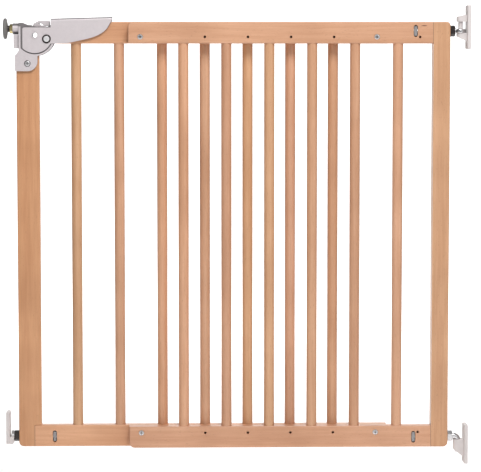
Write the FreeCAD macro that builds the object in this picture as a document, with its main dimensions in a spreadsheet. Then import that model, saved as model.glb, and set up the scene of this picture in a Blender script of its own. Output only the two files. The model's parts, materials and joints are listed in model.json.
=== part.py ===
import FreeCAD, Part
import math
import os
import Sketcher

# An extending wooden safety gate: two overlapping barred frames, a lift-and-swing hinge with wall
# fittings at its right, and a lever latch that presses a pad on the wall at its left.
# Frame: origin on the wall face of the hinge side, in the upright plane of the hinge axis, level with
# the underside of the posts. +X points into that wall, +Y away from the front, +Z up. Millimetres.

FRONT_BARS = 6
REAR_BARS = 7
SETTING = 2.5  # bar pitches from the first rear bar to the first front bar at the narrowest setting
SCREW_HOLES = (4.5, -1.0)  # places of the frame screws on the front frame's bar grid, in pitches
OPEN_HOLES = (0.5, 1.5, 2.5, 3.5)  # free through holes on the same grid
BLIND_HOLES = (5.5,)  # pilot holes of the front frame on the same grid
REAR_HOLES = (1.5, 2.5, 3.5, 4.5, 5.5, 7.0)  # pilot holes on the rear frame's bar grid

SIZES = (
    # the frames
    ("post_height", 720, "height of the gate"),
    ("bar_pitch", 72.2, "from bar to bar in each frame, which also sets the width"),
    ("bar_diameter", 17.5, "round bars"),
    ("rail_height", 36.5, "top and bottom rails"),
    ("rail_cover", 0.75, "rails thicker than the bars, on each side"),
    ("frame_gap", 0.4, "slip between the front and the rear frame"),
    ("rail_overhang", 92.5, "from the last bar to a rail's free end"),
    ("rail_end_radius", 9, "rounding of the rails' free ends"),
    ("edge_radius", 2, "rounding of the long edges of rails and posts"),
    ("mortise_depth", 14, "bars let into the rails"),
    ("right_post_width", 28.5, "hinge-side post"),
    ("right_post_depth", 28, "hinge-side post, front to back"),
    ("right_post_to_bar", 73, "middle of the hinge-side post to its first bar"),
    ("left_post_width", 38.5, "lock-side post"),
    ("left_post_to_bar", 80.9, "middle of the lock-side post to its first bar"),
    ("post_notch", 12, "depth to which the rear bottom rail is let into its post"),
    ("head_radius", 6.5, "upper outer corner of the hinge-side post"),
    ("foot_radius", 8, "lower outer corners of both posts"),
    ("dowel_diameter", 8, "dowel beside each bolt of the hinge-side post"),
    ("dowel_length", 30, "half of it is in the post"),
    ("dowel_offset", 12, "from the bolt's axis towards the rail's inner edge"),
    # bolts, nuts and screws
    ("upper_bolt_inset", 15.5, "upper bolt below the post's top"),
    ("lower_bolt_inset", 17.2, "lower bolts above the post's foot"),
    ("bolt_diameter", 10, "hinge and cradle bolts"),
    ("bolt_clearance", 0.3, "around a bolt in wood"),
    ("hex_flats", 16, "lock nuts and bolt head across flats"),
    ("lock_nut_height", 8.4, "lock nuts"),
    ("slot_nut_width", 16, "square nuts in the rails"),
    ("slot_nut_height", 5, "square nuts, along the bolt"),
    ("slot_width", 7, "nut slots"),
    ("slot_height", 20, "nut slots"),
    ("slot_setback", 30, "slot's middle from the end of a front rail"),
    ("rear_slot_setback", 34.3, "slot's middle from the end of the rear rail"),
    ("hole_inset", 11, "row of holes from the rails' inner edge"),
    ("hole_diameter", 4.4, "row of holes"),
    ("pilot_depth", 12, "blind holes in the rails"),
    ("screw_diameter", 4, "frame screws"),
    ("screw_head_diameter", 9.2, "frame screws"),
    ("screw_head_height", 2.6, "frame screws"),
    ("counterbore_diameter", 9.6, "for the frame screws' heads"),
    ("counterbore_depth", 3.2, "for the frame screws' heads"),
    # hinge side
    ("hinge_offset", 16, "hinge axis from the wall"),
    ("hinge_gap", 17.7, "hinge axis from the post"),
    ("plate_thickness", 6, "wall plates"),
    ("plate_depth", 33, "wall plates, front to back"),
    ("plate_corner", 3, "rounding of the wall plates' ends"),
    ("eye_radius", 9, "ring of the upper hinge bolt"),
    ("eye_thickness", 7, "ring of the upper hinge bolt"),
    ("eye_neck", 8.4, "from the hinge axis to the full shank behind the ring"),
    ("hinge_post_diameter", 7.8, "upright between the upper bracket's arms"),
    ("eye_clearance", 0.3, "around the upright in the ring"),
    ("turning_clearance", 0.06, "radial, where a pin turns in its hole"),
    ("seat_clearance", 0.2, "under whatever rests on a wall fitting"),
    ("lift_travel", 12, "height that the gate can be lifted"),
    ("arm_tip_radius", 6.8, "end of the upper bracket's arms"),
    ("arm_root_width", 16.8, "arms and socket block at the plate"),
    ("upper_arm_height", 8.4, "upper arm at its tip"),
    ("lower_arm_height", 5.2, "lower arm at its tip"),
    ("upper_arm_slope", 3.6, "rise of the upper arm's top towards the plate"),
    ("lower_arm_slope", 7, "fall of the lower arm's underside towards the plate"),
    ("upper_plate_above", 15.5, "upper plate above its upper arm"),
    ("upper_plate_below", 14.2, "upper plate below its lower arm"),
    ("post_seat_depth", 4, "the upright let into each arm"),
    ("socket_tip_radius", 7.6, "end of the lower bracket's socket block"),
    ("socket_height", 27.9, "socket block"),
    ("socket_bevel", 11.3, "height of the bevel under the socket block"),
    ("socket_foot", 3, "flat part of the socket block's underside beside the plate"),
    ("socket_floor", 4.4, "under the socket's bore"),
    ("hook_bend_radius", 6.5, "middle line of the lower hinge bolt's bend"),
    ("hook_leg", 21, "straight end of the lower hinge bolt below its bend"),
    ("socket_mouth", 1.8, "chamfer at the socket's mouth"),
    ("lower_plate_above", 26, "lower plate above its socket block"),
    ("lower_plate_below", 12.8, "lower plate below its socket block"),
    ("wall_hole_diameter", 5, "screw holes in the wall plates"),
    ("wall_hole_inset", 8, "screw holes from the plates' ends"),
    ("cradle_hole_gap", 18, "between the cradle plate's screw holes"),
    # lock side, at the foot
    ("lock_gap", 21.5, "lock-side post from its wall"),
    ("bolt_head_height", 4.6, "cradle bolt's head"),
    ("cradle_reach", 12.7, "cradle from its wall"),
    ("cradle_lip_height", 9.6, "cradle's lips above its floor"),
    ("cradle_lip_thickness", 4.6, "cradle's lips, front to back"),
    ("cradle_lip_gap", 0.6, "beside the bolt head"),
    ("cradle_floor", 2.8, "cradle under the bolt head"),
    ("cradle_plate_height", 54, "cradle's wall plate"),
    # latch, measured from the lever's pivot
    ("pivot_drop", 22.4, "pivot below the gate's top"),
    ("pivot_setback", 31.4, "pivot from the post's outer face"),
    ("sheet", 1.6, "sheet metal of bracket and lever"),
    ("cheek_gap", 0.4, "between bracket and lever"),
    ("lever_disc", 30, "round part of the lever"),
    ("pan_radius", 32, "recess of the bracket in which the lever turns"),
    ("bracket_radius", 35, "round part of the bracket"),
    ("post_head_drop", 33, "top of the lock-side post below the pivot"),
    ("tab_bottom", 60.4, "bracket's lower edge below the pivot"),
    ("tab_right", 4.7, "bracket's right edge beside the post"),
    ("tab_corner", 17, "rounding of the bracket's lower corner"),
    ("web_sheet", 2, "bracket's wall on the post's outer face"),
    ("bracket_arm", 78, "reach of the bracket along the rail"),
    ("rail_start", 36, "rear top rail's end from the pivot"),
    ("rim_left", 26.8, "bracket's upper left edge from the pivot"),
    ("rim_width", 3.3, "raised strip along that edge"),
    ("rim_clearance", 0.6, "between the bracket's rim and the handle's lower edge"),
    ("rim_top", 14.5, "upper end of the raised strip above the pivot"),
    ("rim_bottom", 26, "the bracket's left edge slants outwards from here below the pivot"),
    ("post_wall_drop", 34.8, "top of the bracket's wall on the post below the pivot"),
    ("arm_low", 8, "bracket's arm below the pivot"),
    ("arm_high", 19, "bracket's arm above the pivot"),
    ("bridge_left", 14, "bridge between the bracket's halves, left of the pivot"),
    ("bridge_right", 5, "other end of that bridge, left of the pivot"),
    ("bridge_rise", 15.2, "underside of that bridge above the pivot"),
    ("slot_slack", 1.5, "degrees by which a crank slot runs past the studs' travel"),
    ("rivet_diameter", 5, "rivets that hold the bracket on the rail"),
    ("rivet_right", 48, "first rivet from the pivot"),
    ("rivet_pitch", 20, "from rivet to rivet"),
    ("rivet_rise", 6, "rivets above the pivot"),
    ("tab_screw_left", 12.5, "screws of the bracket in the post, left of the pivot"),
    ("tab_screw_drop", 47.6, "those screws below the pivot"),
    ("tab_screw_diameter", 4.5, "those screws"),
    ("tab_screw_length", 8.6, "holes for those screws in the post"),
    ("tab_screw_head", 8.6, "heads of those screws"),
    ("tab_screw_head_height", 1.5, "heads of those screws"),
    ("tab_screw_recess", 10.8, "recesses round those heads"),
    ("handle_length", 130, "lever's end from the pivot"),
    ("handle_start", 27, "left edge of the handle"),
    ("handle_top_left", 27.5, "top of the handle at its left"),
    ("handle_top_right", 30.5, "top of the handle at its end"),
    ("handle_bottom", 14.2, "lower edge of the handle below the pivot"),
    ("tongue_bottom", 20, "lower edge of the lever's tongue, which the thumb catch stops"),
    ("handle_edge_radius", 4, "bend between the handle's top and its sides"),
    ("disc_left", 20.4, "flat left side of the lever's disc"),
    ("disc_top", 12.8, "flat top of the lever's disc"),
    ("tube_bore", 8.8, "see-through hole in the pivot"),
    ("tube_diameter", 10.2, "pivot tube"),
    ("tube_flange", 11.8, "turned-over ends of the pivot tube"),
    ("flange_sheet", 0.6, "thickness of those ends"),
    ("crank_radius", 20.9, "crank studs from the pivot"),
    ("crank_angle", -17.8, "direction of the crank studs at rest, degrees"),
    ("crank_diameter", 6.4, "crank studs"),
    ("crank_head", 10, "crank studs' heads"),
    ("crank_head_height", 1.4, "crank studs' heads"),
    ("washer_diameter", 14.8, "dark washers under those heads"),
    ("washer_sheet", 0.8, "those washers"),
    ("slot_clearance", 0.4, "radial, around a crank stud in a slot"),
    ("lever_lift", 45, "lever's travel, degrees"),
    ("pad_retract", 7, "slide's travel while the lever lifts"),
    ("slide_play", 0.4, "beside the slide, between the bracket's plates"),
    ("slide_plate", 2.4, "slide's two side plates"),
    ("slide_left", 35.6, "slide's outer end from the pivot"),
    ("slide_block", 10.6, "length of the slide's outer block"),
    ("slide_block_bottom", 22, "slide's block below the pivot"),
    ("slide_block_top", 1.4, "slide's block above the pivot"),
    ("spindle_rise", 10.8, "pad's axis above the pivot"),
    ("spindle_diameter", 8, "threaded spindle"),
    ("boss_diameter", 18.2, "slide's threaded boss"),
    ("boss_length", 9.8, "slide's threaded boss"),
    ("spindle_nut_flats", 13.6, "spindle's lock nut"),
    ("spindle_nut_height", 5.4, "spindle's lock nut"),
    ("spindle_tail", 20.2, "spindle's inner end from the pivot"),
    ("pad_diameter", 35.5, "rubber pad"),
    ("pad_thickness", 7, "rubber pad"),
    ("pad_rim", 2.6, "rounding of the pad's rim"),
    ("pad_socket_diameter", 11, "metal socket behind the pad"),
    ("pad_socket_length", 2.7, "metal socket behind the pad"),
    ("catch_half_width", 6.2, "thumb catch"),
    ("catch_sheet", 1.2, "thumb catch"),
    ("catch_pin_diameter", 3, "thumb catch's pin"),
    ("catch_pin_right", 1.5, "catch pin from the pivot"),
    ("catch_pin_rise", 10.8, "catch pin above the pivot"),
    ("catch_top", 24, "catch's top above the pivot"),
    ("catch_right", 25, "catch's nose from the pivot"),
    ("leaf_sheet", 0.6, "leaf spring under the catch"),
    ("leaf_half_width", 4, "leaf spring"),
)
RIVETS = 2

# Drawn curves of the latch about the lever's pivot: (right, up) or (right, up, radius, turn) where an
# arc leaves the point; turn is 1 for anticlockwise.
SADDLE_CURVE = ((30, 19), (22, 14), (3, 14), (-4, 15.4), (-12.5, 17.4), (-20, 20.6))
HANDLE_CURVE = ((57, -12.9), (82, -7.6, 120, 1), (109, 1.2, 60, 1), (123, 13))
SLIDE_SIDE_CURVE = ((20, -13), (26.4, -9), (26.4, -3), (18.6, 14),
                    (14, 16.2), (9, 16.2), (5, 12.4), (4.6, 8.4))
CATCH_SLIT = ((6.4, 19.6), (14.6, 13), (17.4, 13), (17.4, 14.4), (9.2, 21))


class Size:
    """A length that carries both its number and its spreadsheet expression."""

    def __init__(self, value, text):
        self.value = value
        self.text = text

    def join(self, other, sign, number, swap=False):
        other = as_size(other)
        first, second = (other, self) if swap else (self, other)
        return Size(number(first.value, second.value), f"({first.text} {sign} {second.text})")

    def __add__(self, other):
        return self.join(other, "+", lambda a, b: a + b)

    def __radd__(self, other):
        return self.join(other, "+", lambda a, b: a + b, swap=True)

    def __sub__(self, other):
        return self.join(other, "-", lambda a, b: a - b)

    def __rsub__(self, other):
        return self.join(other, "-", lambda a, b: a - b, swap=True)

    def __mul__(self, other):
        return self.join(other, "*", lambda a, b: a * b)

    def __rmul__(self, other):
        return self.join(other, "*", lambda a, b: a * b, swap=True)

    def __truediv__(self, other):
        return self.join(other, "/", lambda a, b: a / b)

    def __neg__(self):
        return Size(-self.value, f"(-{self.text})")


def as_size(number):
    return number if isinstance(number, Size) else Size(float(number), f"({number})")


def root(size):
    return Size(math.sqrt(size.value), f"sqrt({size.text})")


def cosine(size):
    return Size(math.cos(math.radians(size.value)), f"cos({size.text} * 1 deg)")


def sine(size):
    return Size(math.sin(math.radians(size.value)), f"sin({size.text} * 1 deg)")


doc = FreeCAD.newDocument("SafetyGate")
sheet = doc.addObject("Spreadsheet::Sheet", "Sizes")


class Names:
    """Each spreadsheet size under its own name."""


size = Names()
for row, (alias, number, note) in enumerate(SIZES, start=1):
    sheet.set(f"A{row}", alias)
    sheet.set(f"B{row}", str(number))
    sheet.set(f"C{row}", note)
    sheet.setAlias(f"B{row}", alias)
    setattr(size, alias, Size(float(number), f"Sizes.{alias}"))
size.rail_thickness = size.bar_diameter + size.rail_cover * 2
size.slide_half_width = size.rail_thickness / 2 - size.slide_play
doc.recompute()

bodies = []
TURNS = {
    "X": FreeCAD.Rotation(FreeCAD.Vector(0, 1, 0), 90),
    "Y": FreeCAD.Rotation(FreeCAD.Vector(1, 0, 0), -90),
    "Z": FreeCAD.Rotation(),
}


def make_body(label, at=(0, 0, 0)):
    body = doc.addObject("PartDesign::Body", label)
    body.Label = label
    for letter, place in zip("xyz", at):
        body.setExpression(f".Placement.Base.{letter}", as_size(place).text)
    bodies.append(body)
    return body


def primitive(body, kind, name, sizes, at=(0, 0, 0), axis="Z"):
    """Add or cut a box, cylinder, cone, prism or torus whose sizes and place are bound to the sheet."""
    feature = body.newObject(f"PartDesign::{kind}", name)
    for key, number in sizes.items():
        feature.setExpression(key, as_size(number).text)
    feature.Placement = FreeCAD.Placement(FreeCAD.Vector(), TURNS[axis])
    for letter, place in zip("xyz", at):
        feature.setExpression(f".Placement.Base.{letter}", as_size(place).text)
    doc.recompute()
    return feature


def box(body, name, low, high, cut=False):
    """A box from its lowest corner to its highest one."""
    spans = [as_size(b) - as_size(a) for a, b in zip(low, high)]
    kind = "SubtractiveBox" if cut else "AdditiveBox"
    return primitive(body, kind, name, dict(zip(("Length", "Width", "Height"), spans)), low)


def rod(body, name, diameter, length, at, axis="Z", cut=False):
    """A round bar, or the hole for one, that starts at a point and runs along an axis."""
    kind = "SubtractiveCylinder" if cut else "AdditiveCylinder"
    return primitive(body, kind, name, {"Radius": as_size(diameter) / 2, "Height": length}, at, axis)


def hex_prism(body, name, flats, height, at, axis):
    sizes = {"Circumradius": flats / math.sqrt(3), "Height": height, "Polygon": 6}
    return primitive(body, "AdditivePrism", name, sizes, at, axis)


def origin_item(body, role):
    return next(item for item in body.Origin.OriginFeatures if item.Role == role)


def soften(body, name, radius, choose, kind="Fillet"):
    """Fillet or chamfer the edges of the body's last feature that a test picks out."""
    last = body.Tip
    edges = [f"Edge{i}" for i, edge in enumerate(last.Shape.Edges, start=1) if choose(edge)]
    feature = body.newObject(f"PartDesign::{kind}", name)
    feature.Base = (last, edges)
    feature.setExpression("Radius" if kind == "Fillet" else "Size", as_size(radius).text)
    doc.recompute()
    return feature


def pattern(body, name, feature, axis, step, count):
    """Repeat a feature along an axis of its body."""
    row = body.newObject("PartDesign::LinearPattern", name)
    row.Originals = [feature]
    row.Direction = (origin_item(body, f"{axis}_Axis"), [""])
    row.Occurrences = count
    row.setExpression("Length", (step * (count - 1)).text)
    body.Tip = row
    doc.recompute()
    return row


def middle(edge):
    return edge.valueAt((edge.FirstParameter + edge.LastParameter) / 2)


def runs_along(edge, axis):
    return edge.Curve.TypeId == "Part::GeomLine" and abs(getattr(edge.Curve.Direction, axis)) > 0.999


def near(number, size_or_number):
    return abs(number - as_size(size_or_number).value) < 0.02


def arc_middle(start, end, radius, turn):
    """The middle of the shorter arc between two points; turn is 1 for anticlockwise, -1 for clockwise."""
    chord = end - start
    half = chord.Length / 2
    side = FreeCAD.Vector(-chord.y, chord.x, 0).normalize() * turn
    centre = (start + end) / 2 + side * math.sqrt(max(radius * radius - half * half, 0))
    return centre - side * radius


def outline(body, name, plane, offset, corners):
    """A closed sketch through corners (x, y), or (x, y, radius, turn) where an arc leaves the corner."""
    sketch = body.newObject("Sketcher::SketchObject", name)
    sketch.AttachmentSupport = [(origin_item(body, f"{plane}_Plane"), "")]
    sketch.MapMode = "FlatFace"
    sketch.setExpression(".AttachmentOffset.Base.z", as_size(offset).text)
    points = [FreeCAD.Vector(as_size(c[0]).value, as_size(c[1]).value, 0) for c in corners]
    ends = []
    for number, corner in enumerate(corners):
        start = points[number]
        end = points[(number + 1) % len(points)]
        if len(corner) > 2:
            bulge = arc_middle(start, end, as_size(corner[2]).value, corner[3])
            clockwise = corner[3] < 0
            arc = Part.Arc(end, bulge, start) if clockwise else Part.Arc(start, bulge, end)
            edge = sketch.addGeometry(arc, False)
            ends.append((edge, 2, 1) if clockwise else (edge, 1, 2))
        else:
            edge = sketch.addGeometry(Part.LineSegment(start, end), False)
            ends.append((edge, 1, 2))
    for number, corner in enumerate(corners):
        edge, first, last = ends[number]
        following, entry, _ = ends[(number + 1) % len(ends)]
        sketch.addConstraint(Sketcher.Constraint("Coincident", edge, last, following, entry))
        for kind, place in zip(("DistanceX", "DistanceY"), corner[:2]):
            place = as_size(place)
            rule = Sketcher.Constraint(kind, -1, 1, edge, first, place.value)
            sketch.setExpression(f"Constraints[{sketch.addConstraint(rule)}]", place.text)
        if len(corner) > 2:
            radius = as_size(corner[2])
            rule = Sketcher.Constraint("Radius", edge, radius.value)
            sketch.setExpression(f"Constraints[{sketch.addConstraint(rule)}]", radius.text)
    doc.recompute()
    return sketch


def slab(body, name, corners, start, end, plane="XZ", cut=False):
    """A plate between two levels, or a cut of that shape: levels on Y for an XZ outline, on Z for XY."""
    facing_back = plane == "XZ"
    offset = -as_size(start) if facing_back else start
    sketch = outline(body, f"{name}_outline", plane, offset, corners)
    before = body.Shape.Volume if cut else 0
    feature = body.newObject("PartDesign::Pocket" if cut else "PartDesign::Pad", name)
    feature.Profile = sketch
    feature.setExpression("Length", (as_size(end) - as_size(start)).text)
    feature.Reversed = facing_back != cut
    doc.recompute()
    if cut and feature.Shape.Volume >= before:
        raise RuntimeError(f"{name} cuts nothing")
    return feature


# Places that the pieces share, worked out from the hinge-side wall towards the lock side.
front_face = -size.rail_thickness / 2
front_back = size.rail_thickness / 2
rear_face = front_back + size.frame_gap
rear_back = rear_face + size.rail_thickness
rear_middle = rear_face + size.rail_thickness / 2

hinge_x = -size.hinge_offset
right_post_right = hinge_x - size.hinge_gap
right_post_left = right_post_right - size.right_post_width
front_bar_x = (right_post_left + right_post_right) / 2 - size.right_post_to_bar
front_bar_x = front_bar_x - size.bar_pitch * (FRONT_BARS - 1)
front_rail_left = front_bar_x - size.rail_overhang
rear_bar_x = front_bar_x - size.bar_pitch * SETTING
rear_rail_right = rear_bar_x + size.bar_pitch * (REAR_BARS - 1) + size.rail_overhang
left_post_right = rear_bar_x - size.left_post_to_bar + size.left_post_width / 2
left_post_left = left_post_right - size.left_post_width
lock_wall_x = left_post_left - size.lock_gap

top_rail_z = size.post_height - size.rail_height
upper_bolt_z = size.post_height - size.upper_bolt_inset
lower_bolt_z = size.lower_bolt_inset
pivot = (left_post_left + size.pivot_setback, rear_middle, size.post_height - size.pivot_drop)


def wall_plate(body, low_z, high_z, wall_x, into, middle_y):
    """A wall plate with rounded ends; into is 1 where the wall is on its +X side."""
    inner = wall_x - size.plate_thickness * into
    left, right = (inner, wall_x) if into > 0 else (wall_x, inner)
    half = size.plate_depth / 2
    box(body, "plate", (left, middle_y - half, low_z), (right, middle_y + half, high_z))
    soften(body, "plate_corners", size.plate_corner,
           lambda edge: runs_along(edge, "x"))
    soften(body, "plate_brink", size.plate_corner / 2,
           lambda edge: abs(middle(edge).x - inner.value) < 0.01)


def wall_hole(body, name, z, wall_x, into, middle_y):
    """A countersunk screw hole through a wall plate."""
    start = wall_x - size.plate_thickness if into > 0 else wall_x
    rod(body, name, size.wall_hole_diameter, size.plate_thickness, (start, middle_y, z), "X", cut=True)
    wide = size.wall_hole_diameter * 0.95
    narrow = size.wall_hole_diameter / 2
    radii = (wide, narrow) if into > 0 else (narrow, wide)
    depth = size.wall_hole_diameter / 2
    near_face = start if into > 0 else wall_x + size.plate_thickness - depth
    sizes = {"Radius1": radii[0], "Radius2": radii[1], "Height": depth}
    primitive(body, "SubtractiveCone", f"{name}_sink", sizes, (near_face, middle_y, z), "X")


def bracket_plan(tip):
    """Plan of an arm: a round end about the hinge axis that widens towards the wall plate."""
    root_half = size.arm_root_width / 2
    root_x = -size.plate_thickness
    return [
        (hinge_x, tip, tip, 1),
        (hinge_x - tip, 0, tip, 1),
        (hinge_x, -tip),
        (root_x, -root_half),
        (root_x, root_half),
    ]


def upper_hinge_bracket():
    body = make_body("upper_hinge_bracket")
    lower_top = upper_bolt_z - size.eye_thickness / 2 - size.seat_clearance
    upper_bottom = lower_top + size.eye_thickness + size.lift_travel + size.seat_clearance * 2
    lower_bottom = lower_top - size.lower_arm_height - size.lower_arm_slope
    upper_top = upper_bottom + size.upper_arm_height + size.upper_arm_slope
    low_z = lower_bottom - size.upper_plate_below
    high_z = upper_top + size.upper_plate_above
    wall_plate(body, low_z, high_z, as_size(0), 1, as_size(0))
    slab(body, "lower_arm", bracket_plan(size.arm_tip_radius), lower_bottom, lower_top, "XY")
    slab(body, "upper_arm", bracket_plan(size.arm_tip_radius), upper_bottom, upper_top, "XY")
    tip = hinge_x - size.arm_tip_radius
    half = size.arm_root_width
    slab(body, "lower_slope",
         [(tip - 1, lower_bottom - 1), (-size.plate_thickness, lower_bottom - 1),
          (-size.plate_thickness, lower_bottom), (tip, lower_bottom + size.lower_arm_slope),
          (tip - 1, lower_bottom + size.lower_arm_slope)], -half, half, cut=True)
    slab(body, "upper_slope",
         [(tip - 1, upper_top - size.upper_arm_slope), (tip, upper_top - size.upper_arm_slope),
          (-size.plate_thickness, upper_top), (-size.plate_thickness, upper_top + 1),
          (tip - 1, upper_top + 1)], -half, half, cut=True)
    bore = size.hinge_post_diameter + size.turning_clearance * 2
    rod(body, "post_seats", bore, upper_bottom - lower_top + size.post_seat_depth * 2,
        (hinge_x, 0, lower_top - size.post_seat_depth), cut=True)
    wall_hole(body, "lower_hole", low_z + size.wall_hole_inset, as_size(0), 1, as_size(0))
    wall_hole(body, "upper_hole", high_z - size.wall_hole_inset, as_size(0), 1, as_size(0))
    return lower_top, upper_bottom


def upper_hinge_post(lower_top, upper_bottom):
    depth = size.post_seat_depth - size.turning_clearance
    body = make_body("upper_hinge_post", (hinge_x, 0, lower_top - depth))
    rod(body, "upright", size.hinge_post_diameter, upper_bottom - lower_top + depth * 2, (0, 0, 0))


def lower_hinge_bracket():
    body = make_body("lower_hinge_bracket")
    top = lower_bolt_z - size.bolt_diameter / 2 - size.seat_clearance
    bottom = top - size.socket_height
    low_z = bottom - size.lower_plate_below
    high_z = top + size.lower_plate_above
    wall_plate(body, low_z, high_z, as_size(0), 1, as_size(0))
    slab(body, "socket_block", bracket_plan(size.socket_tip_radius), bottom, top, "XY")
    tip = hinge_x - size.socket_tip_radius
    half = size.arm_root_width
    slope_end = -size.plate_thickness - size.socket_foot
    slab(body, "socket_slope",
         [(tip - 1, bottom - 1), (slope_end, bottom - 1), (slope_end, bottom),
          (tip, bottom + size.socket_bevel), (tip - 1, bottom + size.socket_bevel)], -half, half, cut=True)
    bore = size.bolt_diameter + size.turning_clearance * 2
    floor_z = bottom + size.socket_floor
    rod(body, "socket_bore", bore, top - floor_z, (hinge_x, 0, floor_z), cut=True)
    sizes = {"Radius1": bore / 2, "Radius2": bore / 2 + size.socket_mouth, "Height": size.socket_mouth}
    primitive(body, "SubtractiveCone", "socket_mouth_bevel", sizes, (hinge_x, 0, top - size.socket_mouth))
    wall_hole(body, "lower_hole", low_z + size.wall_hole_inset, as_size(0), 1, as_size(0))
    wall_hole(body, "upper_hole", high_z - size.wall_hole_inset, as_size(0), 1, as_size(0))


def lock_side_cradle():
    body = make_body("lock_side_cradle")
    head_radius = size.hex_flats / math.sqrt(3)
    floor_top = lower_bolt_z - head_radius - size.seat_clearance
    low_z = floor_top - size.cradle_floor
    high_z = low_z + size.cradle_plate_height
    wall_plate(body, low_z, high_z, lock_wall_x, -1, rear_middle)
    inner = size.hex_flats / 2 + size.cradle_lip_gap
    outer = inner + size.cradle_lip_thickness
    reach = lock_wall_x + size.cradle_reach
    face = lock_wall_x + size.plate_thickness
    box(body, "foot", (face, rear_middle - outer, low_z),
        (reach, rear_middle + outer, floor_top + size.cradle_lip_height))
    soften(body, "foot_corners", size.plate_corner,
           lambda edge: runs_along(edge, "y") and near(middle(edge).x, reach) and near(middle(edge).z, low_z))
    box(body, "pocket", (face, rear_middle - inner, floor_top),
        (reach + 1, rear_middle + inner, floor_top + size.cradle_lip_height + 1), cut=True)
    upper_hole = high_z - size.wall_hole_inset
    for name, z in (("upper_hole", upper_hole), ("lower_hole", upper_hole - size.cradle_hole_gap)):
        wall_hole(body, name, z, lock_wall_x, -1, rear_middle)


def frame_rail(label, left, right, face, low_z, free_end, hollow_side):
    """A rail with rounded edges; free_end is the end that slides past the other frame's bars."""
    body = make_body(label, (left, face, low_z))
    length = right - left
    box(body, "board", (0, 0, 0), (length, size.rail_thickness, size.rail_height))
    free_x = length.value if free_end == "right" else 0
    soften(body, "free_end_corners", size.rail_end_radius,
           lambda edge: runs_along(edge, "y") and near(middle(edge).x, free_x)
           and (near(middle(edge).z, 0) if hollow_side == "up" else near(middle(edge).z, size.rail_height)))
    soften(body, "edges", size.edge_radius,
           lambda edge: runs_along(edge, "x") or (runs_along(edge, "z") and near(middle(edge).x, free_x)))
    return body


def bar_mortises(body, first_x, count, hollow_side):
    z = size.rail_height - size.mortise_depth if hollow_side == "up" else as_size(0)
    hole = rod(body, "mortise", size.bar_diameter, size.mortise_depth,
               (first_x, size.rail_thickness / 2, z), cut=True)
    pattern(body, "mortises", hole, "X", size.bar_pitch, count)


def bolt_way(body, end_x, slot_x, z, into):
    """The bolt's bore from a rail's end to its nut slot, and the slot, open at the rail's face."""
    bore = size.bolt_diameter + size.bolt_clearance * 2
    reach = size.slot_width * 1.5
    start = slot_x - reach if into < 0 else end_x
    length = end_x - start if into < 0 else slot_x + reach - end_x
    rod(body, "bolt_bore", bore, length, (start, size.rail_thickness / 2, z), "X", cut=True)
    half = size.slot_width / 2
    straight = (size.slot_height - size.slot_width) / 2
    depth = size.rail_thickness / 2 + size.slot_nut_width / 2
    slab(body, "nut_slot",
         [(slot_x - half, z - straight, half, 1), (slot_x, z - straight - half, half, 1),
          (slot_x + half, z - straight), (slot_x + half, z + straight, half, 1),
          (slot_x, z + straight + half, half, 1), (slot_x - half, z + straight)],
         as_size(-1), depth, cut=True)


def hole_row(body, name, first_x, places, z, depth):
    for number, place in enumerate(places, start=1):
        rod(body, f"{name}_{number}", size.hole_diameter, depth,
            (first_x + size.bar_pitch * place, 0, z), "Y", cut=True)


def front_rails():
    for label, low_z, hollow_side, bolt_z in (
            ("front_top_rail", top_rail_z, "down", upper_bolt_z - top_rail_z),
            ("front_bottom_rail", as_size(0), "up", lower_bolt_z)):
        body = frame_rail(label, front_rail_left, right_post_left, front_face, low_z, "left", hollow_side)
        length = right_post_left - front_rail_left
        first_x = size.rail_overhang
        bar_mortises(body, first_x, FRONT_BARS, hollow_side)
        bolt_way(body, length, length - size.slot_setback, bolt_z, -1)
        hole_z = size.hole_inset if hollow_side == "down" else size.rail_height - size.hole_inset
        hole_row(body, "hole", first_x, OPEN_HOLES + SCREW_HOLES, hole_z, size.rail_thickness)
        hole_row(body, "pilot_hole", first_x, BLIND_HOLES, hole_z, size.pilot_depth)
        for number, place in enumerate(SCREW_HOLES, start=1):
            rod(body, f"counterbore_{number}", size.counterbore_diameter, size.counterbore_depth,
                (first_x + size.bar_pitch * place, 0, hole_z), "Y", cut=True)
        dowel_z = bolt_z - size.dowel_offset if hollow_side == "down" else bolt_z + size.dowel_offset
        rod(body, "dowel_hole", size.dowel_diameter, size.dowel_length / 2,
            (length - size.dowel_length / 2, size.rail_thickness / 2, dowel_z), "X", cut=True)


def rear_rails():
    for label, left, low_z, hollow_side in (
            ("rear_top_rail", pivot[0] + size.rail_start, top_rail_z, "down"),
            ("rear_bottom_rail", left_post_right - size.post_notch, as_size(0), "up")):
        body = frame_rail(label, left, rear_rail_right, rear_face, low_z, "right", hollow_side)
        first_x = rear_bar_x - left
        bar_mortises(body, first_x, REAR_BARS, hollow_side)
        hole_z = size.hole_inset if hollow_side == "down" else size.rail_height - size.hole_inset
        hole_row(body, "pilot_hole", first_x, REAR_HOLES, hole_z, size.pilot_depth)
        if hollow_side == "up":
            bolt_way(body, as_size(0), size.rear_slot_setback, lower_bolt_z, 1)
        else:
            for number, (right, rise) in enumerate(rivet_places(), start=1):
                rod(body, f"rivet_hole_{number}", size.rivet_diameter, size.rail_thickness,
                    (right - size.rail_start, 0, rise + size.rail_height - size.pivot_drop), "Y", cut=True)


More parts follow.
